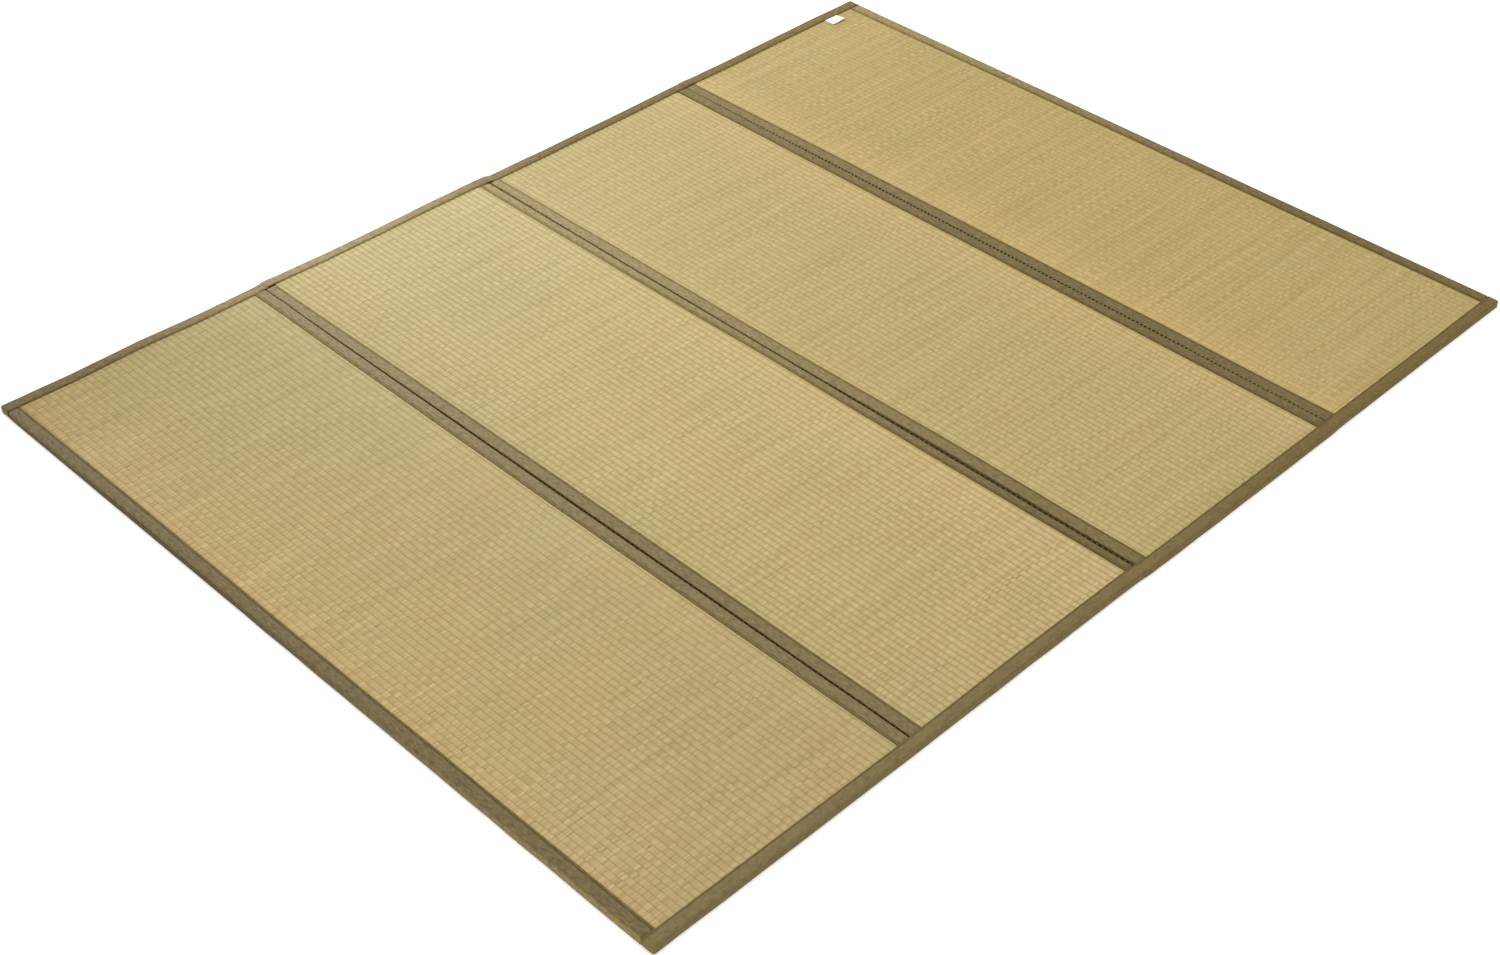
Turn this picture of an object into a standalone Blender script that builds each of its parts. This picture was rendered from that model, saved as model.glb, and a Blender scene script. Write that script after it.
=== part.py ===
"""Four-fold rush floor mat with cloth bindings, lying open and flat.

Metres, +Z up. +X runs across the four panels and +Y along them. The origin is on the floor under
the middle of the mat. Each panel is a woven rush slab with a cloth binding folded round each of
its long edges. One binding at either end runs across all the panels and closes the corners.
Sizes are written in millimetres and made metres by MM where a mesh is built.
"""

import math
from collections import namedtuple

import bmesh
import bpy
import numpy as np

MM = 0.001

# Driving sizes, in millimetres
RUSH_TOP = 13.0          # height of the woven face over the floor
LONG_TOP = 14.0          # height of the long bindings
CLOTH = 1.2              # thickness of the binding cloth
GAP = 0.3                # clearance between pieces that touch
FOLD_GAP = 0.8           # between the two bindings that meet in a fold
BEND = 4.0               # outer radius of a binding where it turns down over an outer edge
FOLD_BEND = 2.0          # the same where it turns down into a fold
CORNER = 5.0             # radius of the mat's corners, seen from above
SLOPE = 0.8              # run of the step where the rush rises beside a binding
DIVE = 3.6               # a long binding has dived under an end binding this far from its edge
TAIL = 6.0               # the long bindings stop this far inside the mat's ends
CORNER_CUT = 2.0         # the rush is cut back by this at the mat's corners
END_WIDTH_NEAR = 22.5
END_WIDTH_FAR = 24.0
SIDE_LEFT = 0.1          # half of the least straight side between a binding's two bends
ARC_STEPS = 3

# Heights that follow from them
END_TOP = RUSH_TOP + GAP + CLOTH
UNDER = CLOTH + GAP      # what one layer of cloth takes up
RIM_DROP = RUSH_TOP - (LONG_TOP - UNDER)
DIVE_DROP = LONG_TOP - RUSH_TOP

# The four panels, left to right. near and far are how far each end reaches from the middle line,
# at even steps from the panel's left edge to its right edge: the ends aren't cut quite square.
Panel = namedtuple("Panel", "width near far left_binding right_binding")
PANELS = (
    Panel(523.0, (804.0, 804.6, 804.7), (804.6, 801.0, 803.2, 798.8, 799.0), 24.7, 26.6),
    Panel(524.0, (804.6, 803.6, 803.2), (802.8, 799.1, 799.6, 802.6, 802.8), 23.8, 22.6),
    Panel(528.0, (805.6, 806.0, 805.4), (797.8, 796.8, 797.8, 799.0, 801.8), 24.7, 26.0),
    Panel(525.0, (804.0, 803.1, 803.3), (801.6, 801.6, 803.6, 805.4, 805.1), 23.8, 26.7),
)
MAT_WIDTH = sum(panel.width for panel in PANELS)
MIDDLE_ROWS = (0.25, 0.5, 0.75)   # stations along a panel between its ends, as shares
END_RAMP = 12.0          # an end line runs straight from panel to panel within this of a fold

# Small puckers of the far end binding where it crosses the folds
Pucker = namedtuple("Pucker", "fold shift lift spread")
PUCKERS = (
    Pucker(1, 10.0, 1.3, 16.0),
    Pucker(2, 3.0, 1.5, 11.0),
    Pucker(3, 8.0, 1.2, 18.0),
)

# The blank label
LABEL_WIDTH = 36.0
LABEL_LENGTH = 28.5
LABEL_MIDDLE_X = 960.0
LABEL_THICKNESS = 1.0
LABEL_LIFT = 1.2         # how far its free right corner stands up
LABEL_LIFT_LEFT = 0.4    # what the free left corner has of that lift, as a share


def panel_edges():
    """The x of the five lines that bound the panels."""
    edges = [-MAT_WIDTH / 2]
    for panel in PANELS:
        edges.append(edges[-1] + panel.width)
    return edges


def end_line(reaches):
    """Points of an end line: x, and the reach there, for each panel's row of reaches."""
    edges = panel_edges()
    xs = []
    ys = []
    for left, right, row in zip(edges[:-1], edges[1:], reaches):
        xs.extend(np.linspace(left + END_RAMP, right - END_RAMP, len(row)))
        ys.extend(row)
    return np.array(xs), np.array(ys)


NEAR_LINE = end_line([panel.near for panel in PANELS])
FAR_LINE = end_line([panel.far for panel in PANELS])


def near_y(x):
    """y of the mat's near end at x."""
    return -np.interp(x, *NEAR_LINE)


def far_y(x):
    """y of the mat's far end at x."""
    return np.interp(x, *FAR_LINE)


def falling(distance, start, run):
    """1 up to start, 0 from start + run on, and straight between."""
    return 1.0 - np.clip((distance - start) / run, 0.0, 1.0)


def make_object(name, points, faces, material):
    """A closed mesh object from points in millimetres and lists of point numbers."""
    mesh = bpy.data.meshes.new(name)
    bm = bmesh.new()
    verts = [bm.verts.new(np.asarray(point) * MM) for point in points]
    for face in faces:
        bm.faces.new([verts[index] for index in face])
    bmesh.ops.recalc_face_normals(bm, faces=bm.faces)
    bm.to_mesh(mesh)
    bm.free()
    mesh.materials.append(material)
    mesh.shade_smooth()
    mesh.set_sharp_from_angle(angle=math.radians(35))
    item = bpy.data.objects.new(name, mesh)
    bpy.context.collection.objects.link(item)
    return item


def make_material(name, colour, roughness):
    """A plain cloth or rush material."""
    material = bpy.data.materials.new(name)
    material.use_nodes = True
    shader = material.node_tree.nodes["Principled BSDF"]
    shader.inputs["Base Color"].default_value = (*colour, 1.0)
    shader.inputs["Roughness"].default_value = roughness
    shader.inputs["Metallic"].default_value = 0.0
    return material


def grid_solid(top, bottom):
    """Points and faces of a closed slab from two grids of points of the same shape."""
    rows, columns = top.shape[:2]
    points = np.concatenate([top.reshape(-1, 3), bottom.reshape(-1, 3)])
    under = rows * columns

    def at(row, column, layer):
        return layer * under + row * columns + column

    faces = []
    for row in range(rows - 1):
        for column in range(columns - 1):
            faces.append([at(row, column, 0), at(row, column + 1, 0),
                          at(row + 1, column + 1, 0), at(row + 1, column, 0)])
            faces.append([at(row, column, 1), at(row + 1, column, 1),
                          at(row + 1, column + 1, 1), at(row, column + 1, 1)])
    rim = [(0, column) for column in range(columns - 1)]
    rim += [(row, columns - 1) for row in range(rows - 1)]
    rim += [(rows - 1, column) for column in range(columns - 1, 0, -1)]
    rim += [(row, 0) for row in range(rows - 1, 0, -1)]
    for here, there in zip(rim, rim[1:] + rim[:1]):
        faces.append([at(*here, 0), at(*here, 1), at(*there, 1), at(*there, 0)])
    return points, faces


def make_rush_panel(index, material):
    """One rush slab, thinner along its rims, where the bindings wrap it above and below.

    u is the distance in from the nearer long edge, v the distance in from the nearer end. Under a
    long binding both faces are sunk by one layer of cloth, and by one more where it dives under an
    end binding.
    """
    panel = PANELS[index]
    left, right = panel_edges()[index:index + 2]
    span = panel.width
    quarters = np.linspace(END_RAMP, span - END_RAMP, 5)
    side = BEND + FOLD_GAP / 2
    rim_left = panel.left_binding + GAP
    rim_right = span - panel.right_binding - GAP
    across = [side, quarters[0], rim_left, rim_left + SLOPE, *quarters[1:4],
              rim_right - SLOPE, rim_right, quarters[4], span - side]
    near_rows = [BEND, END_WIDTH_NEAR + GAP, END_WIDTH_NEAR + GAP + SLOPE, END_WIDTH_NEAR + DIVE]
    far_rows = [END_WIDTH_FAR + DIVE, END_WIDTH_FAR + GAP + SLOPE, END_WIDTH_FAR + GAP, BEND]
    outer_sides = {0: index == 0, len(across) - 1: index == len(PANELS) - 1}
    rows = len(near_rows) + len(MIDDLE_ROWS) + len(far_rows)
    top = np.zeros((rows, len(across), 3))
    bottom = np.zeros_like(top)
    for column, step in enumerate(across):
        x = left + step
        near = near_y(x)
        far = far_y(x)
        is_left = step < span / 2
        u = step if is_left else span - step
        binding = panel.left_binding if is_left else panel.right_binding
        end_cut = CORNER_CUT if outer_sides.get(column) else 0.0
        for row in range(rows):
            if row < len(near_rows):
                v = near_rows[row]
                width = END_WIDTH_NEAR
                cut = end_cut if row == 0 else 0.0
                y = near + v + cut
            elif row >= rows - len(far_rows):
                v = far_rows[row - rows + len(far_rows)]
                width = END_WIDTH_FAR
                cut = end_cut if row == rows - 1 else 0.0
                y = far - v - cut
            else:
                v = (far - near) / 2
                width = END_WIDTH_NEAR
                share = MIDDLE_ROWS[row - len(near_rows)]
                y = near + (far - near) * share
            dive = falling(v, width + GAP, DIVE - GAP)
            under_end = falling(v, width + GAP, SLOPE)
            under_long = falling(u, binding + GAP, SLOPE)
            inset = UNDER * dive if outer_sides.get(column) else 0.0
            shift = inset if is_left else -inset
            top_z = RUSH_TOP - under_long * (RIM_DROP + DIVE_DROP * dive)
            bottom_z = max(under_end * UNDER, under_long * UNDER * (1.0 + dive))
            top[row, column] = (x + shift, y, top_z)
            bottom[row, column] = (x + shift, y, bottom_z)
    points, faces = grid_solid(top, bottom)
    return make_object(f"rush_panel_{index + 1}", points, faces, material)


def channel_section(width, top, bottom, pull, radius, knot=None):
    """A sideways U as points (v, z): the upper leg's inner edge, the bend, the bend, the lower leg.

    Where a knot is given, both legs have one more point there. pull moves the bends inward. Where
    the strip is flat, the bends get tighter and leave a short straight piece between them.
    """
    radius = min(radius, (top - bottom) / 2 - SIDE_LEFT)
    angles = [math.radians(90.0 * step / ARC_STEPS) for step in range(ARC_STEPS)]
    upper = [(pull + radius - radius * math.sin(a), top - radius + radius * math.cos(a))
             for a in (*angles, math.pi / 2)]
    lower = [(pull + radius - radius * math.cos(a), bottom + radius - radius * math.sin(a))
             for a in (*angles, math.pi / 2)]
    knots = [] if knot is None else [knot]
    return np.array([(width, top), *[(k, top) for k in knots], *upper, *lower,
                     *[(k, bottom) for k in knots], (width, bottom)])


def make_channel(name, outer, inner, closed_ends, material):
    """A cloth strip folded round an edge, from its outer and inner rings of points, in mm.

    outer and inner are arrays of stations x points x 3. With closed_ends the cloth also covers
    each end, as where an end binding is tucked in round a corner. Otherwise it is cut off there.
    """
    stations, count = outer.shape[:2]
    points = np.concatenate([outer.reshape(-1, 3), inner.reshape(-1, 3)])
    half = stations * count

    def out(station, step):
        return station * count + step

    def within(station, step):
        return half + station * count + step

    faces = []
    for j in range(stations - 1):
        for i in range(count - 1):
            faces.append([out(j, i), out(j, i + 1), out(j + 1, i + 1), out(j + 1, i)])
            faces.append([within(j, i), within(j + 1, i), within(j + 1, i + 1), within(j, i + 1)])
        for i in (0, count - 1):
            faces.append([out(j, i), out(j + 1, i), within(j + 1, i), within(j, i)])
    for j in (0, stations - 1):
        if closed_ends:
            faces.append([out(j, i) for i in range(count)])
            faces.append([within(j, i) for i in range(count)])
            faces.append([out(j, 0), within(j, 0), within(j, count - 1), out(j, count - 1)])
        else:
            for i in range(count - 1):
                faces.append([out(j, i), out(j, i + 1), within(j, i + 1), within(j, i)])
    return make_object(name, points, faces, material)


def make_long_binding(name, edge, inward, width, is_outer, material):
    """A binding round one long edge. inward is +1 where the panel lies at +X of the edge.

    Its two ends are pressed in by one layer of cloth, where the end bindings lie over them.
    """
    face = edge if is_outer else edge + inward * FOLD_GAP / 2
    bend = BEND if is_outer else FOLD_BEND
    reach = abs(face - edge)
    knot = END_RAMP - reach
    near_stations = [("near", v, END_WIDTH_NEAR) for v in (TAIL, END_WIDTH_NEAR + GAP, END_WIDTH_NEAR + DIVE)]
    far_stations = [("far", v, END_WIDTH_FAR) for v in (END_WIDTH_FAR + DIVE, END_WIDTH_FAR + GAP, TAIL)]
    stations = near_stations + [("middle", share, 0.0) for share in MIDDLE_ROWS] + far_stations
    outer = []
    inner = []
    for place, v, end_width in stations:
        dive = 0.0 if place == "middle" else float(falling(v, end_width + GAP, DIVE - GAP))
        top = LONG_TOP - DIVE_DROP * dive
        bottom = UNDER * dive
        pull = UNDER * dive if is_outer else 0.0
        skin = channel_section(width - reach, top, bottom, pull, bend, knot)
        lining = channel_section(width - reach, top - CLOTH, bottom + CLOTH, pull + CLOTH,
                                 bend - CLOTH, knot)
        for section, rings in ((skin, outer), (lining, inner)):
            x = face + inward * section[:, 0]
            if place == "near":
                y = near_y(x) + v
            elif place == "far":
                y = far_y(x) - v
            else:
                y = near_y(x) + (far_y(x) - near_y(x)) * v
            rings.append(np.column_stack([x, y, section[:, 1]]))
    return make_channel(name, np.array(outer), np.array(inner), False, material)


def pucker_lift(x):
    """How far the far end binding stands up at x, from the puckers at the folds."""
    edges = panel_edges()
    return sum(p.lift * math.exp(-((x - edges[p.fold] - p.shift) / p.spread) ** 2) for p in PUCKERS)


def end_stations(line_x, extra):
    """Stations of an end binding as (x, turn): turn goes 0 to 90 degrees round a corner, then stays."""
    turns = [0.0, 30.0, 60.0]
    half = MAT_WIDTH / 2
    inside = sorted({round(float(x), 3) for x in [*line_x, *panel_edges()[1:-1], *extra]})
    start = [(-half, turn) for turn in turns] + [(-half, 90.0)]
    finish = [(half, 90.0)] + [(half, turn) for turn in reversed(turns)]
    return start + [(x, None) for x in inside] + finish


def make_end_binding(name, line_x, end_y, inward, width, lift, extra, material):
    """A binding that runs over all the panels at one end and closes round both corners.

    Round a corner the cloth's side face follows an arc, and its upper and lower edges draw
    together in step with it, so the corner is rounded from above and from the side.
    """
    outer = []
    inner = []
    for place, turn in end_stations(line_x, extra):
        for depth, rings in ((0.0, outer), (CLOTH, inner)):
            corner = CORNER - depth
            bend = BEND - depth
            if turn is None:
                x = place
                pull = 0.0
                drop = 0.0
            else:
                angle = math.radians(turn)
                x = place - math.copysign(depth + corner * (1.0 - math.cos(angle)), place)
                pull = corner * (1.0 - math.sin(angle))
                drop = bend * (1.0 - math.sin(angle))
            top = END_TOP + lift(x) - depth - drop
            section = channel_section(width, top, depth + drop, depth + pull, bend)
            y = end_y(x) + inward * section[:, 0]
            rings.append(np.column_stack([np.full(len(section), x), y, section[:, 1]]))
    return make_channel(name, np.array(outer), np.array(inner), True, material)


def make_label(material):
    """The blank label: a small sheet that lies on the rush against the far end binding.

    Its height is the rush's plus the lift times the square of the share of the way to its free
    corner, which lies at the near right.
    """
    columns = np.linspace(0.0, 1.0, 5)
    rows = np.linspace(0.0, 1.0, 4)
    left = LABEL_MIDDLE_X - LABEL_WIDTH / 2
    head = far_y(LABEL_MIDDLE_X) - END_WIDTH_FAR - GAP
    share_x, share_y = np.meshgrid(columns, rows)
    x = left + share_x * LABEL_WIDTH
    y = head - share_y * LABEL_LENGTH
    free = share_y * (LABEL_LIFT_LEFT + (1.0 - LABEL_LIFT_LEFT) * share_x)
    low = RUSH_TOP + GAP + LABEL_LIFT * free ** 2
    bottom = np.stack([x, y, low], axis=-1)
    top = np.stack([x, y, low + LABEL_THICKNESS], axis=-1)
    points, faces = grid_solid(top, bottom)
    return make_object("blank_label", points, faces, material)


def main():
    for item in list(bpy.data.objects):
        bpy.data.objects.remove(item, do_unlink=True)
    rush = make_material("woven_rush", (0.546, 0.445, 0.205), 0.62)
    long_cloth = make_material("long_binding_cloth", (0.262, 0.205, 0.114), 0.85)
    end_cloth = make_material("end_binding_cloth", (0.205, 0.155, 0.070), 0.85)
    white = make_material("white_label_cloth", (0.85, 0.83, 0.82), 0.7)

    edges = panel_edges()
    last = len(PANELS) - 1
    for index, panel in enumerate(PANELS):
        make_rush_panel(index, rush)
        left_name = "binding_outer_left" if index == 0 else f"binding_fold_{index}_right"
        right_name = "binding_outer_right" if index == last else f"binding_fold_{index + 1}_left"
        make_long_binding(left_name, edges[index], 1, panel.left_binding, index == 0, long_cloth)
        make_long_binding(right_name, edges[index + 1], -1, panel.right_binding, index == last, long_cloth)

    crests = [edges[p.fold] + p.shift + step for p in PUCKERS for step in (-p.spread, 0.0, p.spread)]
    make_end_binding("binding_end_near", NEAR_LINE[0], near_y, 1, END_WIDTH_NEAR,
                     lambda x: 0.0, [], end_cloth)
    make_end_binding("binding_end_far", FAR_LINE[0], far_y, -1, END_WIDTH_FAR,
                     pucker_lift, crests, long_cloth)
    make_label(white)


main()
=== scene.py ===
"""Four-fold rush floor mat with cloth bindings, dressed for a studio picture.

Lengths are written in millimetres and made metres where a mesh is filled. +X runs across the four
panels, +Y along them to the far end, +Z up, and the origin is on the floor under the mat's middle,
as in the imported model.
"""

from __future__ import annotations

import logging
import math
from dataclasses import dataclass
from enum import Enum
from typing import Any

import bpy  # noqa: E402
import numpy as np  # noqa: E402
from mathutils import Matrix, Vector  # noqa: E402


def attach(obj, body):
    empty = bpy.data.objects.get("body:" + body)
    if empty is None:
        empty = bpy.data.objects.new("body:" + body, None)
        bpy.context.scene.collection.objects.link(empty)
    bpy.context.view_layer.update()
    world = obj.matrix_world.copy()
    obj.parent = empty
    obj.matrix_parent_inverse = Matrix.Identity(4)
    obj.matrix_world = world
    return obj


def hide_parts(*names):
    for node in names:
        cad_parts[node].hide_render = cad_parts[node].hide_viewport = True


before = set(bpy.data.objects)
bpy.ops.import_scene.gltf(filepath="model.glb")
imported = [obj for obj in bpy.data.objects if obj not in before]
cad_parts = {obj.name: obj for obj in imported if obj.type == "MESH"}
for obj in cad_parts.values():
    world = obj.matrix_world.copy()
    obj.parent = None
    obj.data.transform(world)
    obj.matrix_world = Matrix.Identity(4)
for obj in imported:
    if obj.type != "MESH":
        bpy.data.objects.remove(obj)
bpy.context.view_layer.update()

MM = 0.001
UV_UNIT = 10.0           # millimetres of cloth to one unit of a piece's UV map
BODY = "root"
LOG = logging.getLogger("mat")


def hill(x: np.ndarray, middle: float | np.ndarray, spread: float) -> np.ndarray:
    """A bell: e to the minus square of the distance from the middle over the spread."""
    return np.exp(-(((x - middle) / spread) ** 2))


def ease(x: np.ndarray, start: float | np.ndarray, end: float | np.ndarray) -> np.ndarray:
    """0 before start, 1 after end, and 3t^2 - 2t^3 between, where t is the share of the way."""
    t = np.clip((x - start) / (end - start), 0.0, 1.0)
    return t * t * (3.0 - 2.0 * t)


@dataclass(frozen=True)
class Ripple:
    """A smooth seeded unevenness over a plane, about -1 to 1.

    It is a sum of sine waves of x and y, with wavelengths drawn round the two given ones and with
    random phases, over the square root of their number.
    """

    seed: int
    across: float
    along: float
    waves: int = 8

    def at(self, x: np.ndarray, y: np.ndarray) -> np.ndarray:
        """The unevenness at the points.

        Args:
            x: x of the points, in mm.
            y: y of the points, in mm, of a shape that goes with x.

        Returns:
            The sum, in the points' shape.
        """
        draw = np.random.default_rng(self.seed)
        total = np.zeros(np.broadcast(x, y).shape)
        for _ in range(self.waves):
            fx, fy = draw.uniform(0.6, 1.6, 2) * draw.choice([-1.0, 1.0], 2)
            turn = draw.uniform(0.0, 2.0 * math.pi)
            total = total + np.sin(2.0 * math.pi * (fx * x / self.across + fy * y / self.along) + turn)
        return total / math.sqrt(self.waves)


@dataclass(frozen=True)
class Panel:
    """Sizes of one panel.

    near and far are how far each end reaches from the middle line, at even steps from the panel's
    left edge to its right edge. Grooves of the weave stand at groove + k * pitch, every other one
    moved by stagger, and wander by drift_left at the panel's left side to drift_right at its right
    side, both at even steps from y = -740 to y = 740. The bindings' widths differ from the nominal
    ones by wider_left and wider_right, at even steps from y = -700 to y = 700.
    """

    width: float
    near: tuple[float, ...]
    far: tuple[float, ...]
    left_binding: float
    right_binding: float
    groove: float
    pitch: float
    stagger: float
    arch: float
    drift_left: tuple[float, ...]
    drift_right: tuple[float, ...]
    wider_left: tuple[float, ...]
    wider_right: tuple[float, ...]

    def binding(self, left: bool, y: np.ndarray) -> np.ndarray:
        """Width at y of the left or the right binding, in mm."""
        wider = self.wider_left if left else self.wider_right
        nominal = self.left_binding if left else self.right_binding
        return nominal + np.interp(y, np.linspace(-700.0, 700.0, len(wider)), wider)

    def drift(self, share: np.ndarray, y: np.ndarray) -> np.ndarray:
        """The grooves' shift at a share of the way over the panel and at y, in mm."""
        steps = np.linspace(-740.0, 740.0, len(self.drift_left))
        left, right = (np.interp(y, steps, drift) for drift in (self.drift_left, self.drift_right))
        return left + (right - left) * share


@dataclass(frozen=True)
class Layout:
    """The sizes that the pieces share, the same as the solids'."""

    rush_top: float = 13.0
    long_top: float = 14.0
    cloth: float = 1.2
    gap: float = 0.3
    fold_gap: float = 0.8
    bend: float = 4.0
    fold_bend: float = 2.0
    corner: float = 5.0
    dive: float = 3.6
    tail: float = 6.0
    near_width: float = 22.5
    far_width: float = 24.0
    end_ramp: float = 12.0
    near_wider: tuple[float, ...] = (0.6, 0.3, -0.7, 0.8, 1.7, 0.5, 0.4, 0.6, -0.6, -1.6, -0.8)
    far_wider: tuple[float, ...] = (1.0, -0.2, -0.6, -1.6, -1.7, 1.4, -0.5, 0.0, 0.4, 1.2, 2.4)
    panels: tuple[Panel, ...] = (
        Panel(523.0, (804.0, 804.6, 804.7), (804.6, 801.0, 803.2, 798.8, 799.0), 24.7, 26.6,
              -1001.1, 11.95, 0.0, 0.12, (1.5, -0.6, -2.0, -0.9, -1.2, 1.2), (1.5, -0.6, -2.0, -0.9, -1.2, -0.1),
              (0.9, 0.2, -1.2, 0.2, -1.4), (0.6, 1.3, 1.7, -0.2, -1.8)),
        Panel(524.0, (804.6, 803.6, 803.2), (802.8, 799.1, 799.6, 802.6, 802.8), 23.8, 22.6,
              -483.1, 11.95, 0.0, 0.34, (0.9, 0.9, 0.0, 0.0, -2.3, -3.5), (2.2, 0.4, 0.5, 1.2, -1.7, -2.2),
              (0.7, 1.4, 1.6, 0.6, -2.2), (-1.4, 0.4, -0.9, 1.3, 1.6)),
        Panel(528.0, (805.6, 806.0, 805.4), (797.8, 796.8, 797.8, 799.0, 801.8), 24.7, 26.0,
              43.4, 11.92, 0.0, 0.24, (-0.8, 0.7, -1.4, -3.6, -5.3, -7.0), (-2.3, -1.8, -1.1, -1.4, -3.4, -4.2),
              (3.6, 5.0, -0.6, -0.8, -2.7), (1.4, 0.7, 0.4, 1.2, 0.2)),
        Panel(525.0, (804.0, 803.1, 803.3), (801.6, 801.6, 803.6, 805.4, 805.1), 23.8, 26.7,
              565.4, 12.0, 0.5, 0.2, (-1.8, -0.9, -1.4, 1.4, 0.4, -4.0), (-0.6, -0.6, -0.7, 0.4, 0.4, -2.2),
              (-0.3, 1.4, 1.7, 1.7, -1.7), (0.3, 1.6, 0.1, 0.2, 0.9)),
    )

    @property
    def end_top(self) -> float:
        """Height of the end bindings."""
        return self.rush_top + self.gap + self.cloth

    @property
    def under(self) -> float:
        """What one layer of cloth takes up."""
        return self.cloth + self.gap

    @property
    def edges(self) -> np.ndarray:
        """The x of the five lines that bound the panels."""
        widths = [panel.width for panel in self.panels]
        return np.concatenate([[0.0], np.cumsum(widths)]) - sum(widths) / 2

    def reach(self, x: np.ndarray, rows: list[tuple[float, ...]]) -> np.ndarray:
        """The reach of one end at x, as the mean of its straight-run line at four places near x.

        Args:
            x: x of the points, in mm.
            rows: each panel's reaches at that end.

        Returns:
            The distance from the middle line, in the shape of x.
        """
        edges = self.edges
        xs = np.concatenate([np.linspace(a + self.end_ramp, b - self.end_ramp, len(row))
                             for a, b, row in zip(edges[:-1], edges[1:], rows)])
        ys = np.concatenate([np.array(row) for row in rows])
        return sum(np.interp(x + step, xs, ys) for step in (-9.0, -3.0, 3.0, 9.0)) / 4.0

    def near_y(self, x: np.ndarray) -> np.ndarray:
        """y of the mat's near end at x."""
        return -self.reach(x, [panel.near for panel in self.panels])

    def far_y(self, x: np.ndarray) -> np.ndarray:
        """y of the mat's far end at x."""
        return self.reach(x, [panel.far for panel in self.panels])

    def near_cover(self, x: np.ndarray) -> np.ndarray:
        """Width of the near end's binding at x, from sizes at even steps of x from -950 to 950."""
        return self.near_width + np.interp(x, np.linspace(-950.0, 950.0, len(self.near_wider)), self.near_wider)

    def far_cover(self, x: np.ndarray) -> np.ndarray:
        """Width of the far end's binding at x, likewise."""
        return self.far_width + np.interp(x, np.linspace(-950.0, 950.0, len(self.far_wider)), self.far_wider)

    def dived(self, v: np.ndarray, end_width: np.ndarray) -> np.ndarray:
        """1 where a long binding lies under an end binding, v from the end, and 0 clear of it."""
        return 1.0 - ease(v, end_width + self.gap, end_width + self.dive)


LAYOUT = Layout()


def closed_between(upper: np.ndarray, lower: np.ndarray, capped: bool) -> np.ndarray:
    """Quads of a closed body between two grids of points, numbered upper first and then lower.

    The upper grid's quads, the lower grid's the other way round, and a strip of quads along each
    border. Where the ends are capped, a grid's first and last rows are U shapes, and each is closed
    across by quads from a point of one leg to the same point of the other.

    Args:
        upper: Grid of rows x columns x 3.
        lower: Grid of the same shape.
        capped: Whether the rows' ends are closed across.

    Returns:
        Quads x 4 point numbers.
    """
    rows, columns = upper.shape[:2]
    number = np.arange(rows * columns).reshape(rows, columns)
    up = number
    low = number + rows * columns

    def quads(a: np.ndarray, b: np.ndarray, c: np.ndarray, d: np.ndarray) -> np.ndarray:
        """Four arrays of point numbers as rows of four."""
        return np.stack([a.ravel(), b.ravel(), c.ravel(), d.ravel()], axis=1)

    parts = [
        quads(up[:-1, :-1], up[:-1, 1:], up[1:, 1:], up[1:, :-1]),
        quads(low[:-1, :-1], low[1:, :-1], low[1:, 1:], low[:-1, 1:]),
        quads(up[:-1, 0], up[1:, 0], low[1:, 0], low[:-1, 0]),
        quads(up[1:, -1], up[:-1, -1], low[:-1, -1], low[1:, -1]),
    ]
    for row, forward in ((0, True), (-1, False)):
        ring_up, ring_low = up[row], low[row]
        if capped:
            half = columns // 2
            there_up, there_low = ring_up[::-1], ring_low[::-1]
            strips = [
                quads(ring_up[1:half], ring_up[:half - 1], there_up[:half - 1], there_up[1:half]),
                quads(ring_low[:half - 1], ring_low[1:half], there_low[1:half], there_low[:half - 1]),
                quads(ring_up[-1:], ring_up[:1], ring_low[:1], ring_low[-1:]),
            ]
        else:
            strips = [quads(ring_up[1:], ring_up[:-1], ring_low[:-1], ring_low[1:])]
        parts += strips if forward else [strip[:, ::-1] for strip in strips]
    return np.concatenate(parts)


def signed_volume(points: np.ndarray, quads: np.ndarray) -> float:
    """Six times the volume inside the quads, below 0 where they face inwards."""
    a, b, c, d = (points[quads[:, i]] for i in range(4))
    return float((a * np.cross(b, c)).sum() + (a * np.cross(c, d)).sum())


def make_piece(name: str, points: np.ndarray, quads: np.ndarray, uv: np.ndarray | None,
               finish: bpy.types.Material, sharp: float = 180.0) -> bpy.types.Object:
    """A mesh object from points in millimetres and quads, turned so that its faces point outwards.

    Args:
        name: The piece's name.
        points: Points x 3, in mm.
        quads: Quads x 4 point numbers.
        uv: Points x 2, in mm, or None.
        finish: Its material.
        sharp: Edges that turn by more than this many degrees stay sharp.

    Returns:
        The object, at the origin, riding on the mat.
    """
    if signed_volume(points, quads) < 0.0:
        quads = quads[:, ::-1]
    mesh = bpy.data.meshes.new(name)
    mesh.vertices.add(len(points))
    mesh.vertices.foreach_set("co", (points * MM).astype(np.float32).ravel())
    mesh.loops.add(quads.size)
    mesh.loops.foreach_set("vertex_index", quads.astype(np.int32).ravel())
    mesh.polygons.add(len(quads))
    mesh.polygons.foreach_set("loop_start", np.arange(0, quads.size, 4, dtype=np.int32))
    mesh.update(calc_edges=True)
    if uv is not None:
        layer = mesh.uv_layers.new(name="laid")
        layer.data.foreach_set("uv", (uv[quads.ravel()] / UV_UNIT).astype(np.float32).ravel())
    mesh.materials.append(finish)
    mesh.shade_smooth()
    if sharp < 180.0:
        mesh.set_sharp_from_angle(angle=math.radians(sharp))
    piece = bpy.data.objects.new(name, mesh)
    bpy.context.collection.objects.link(piece)
    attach(piece, BODY)
    return piece


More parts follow.
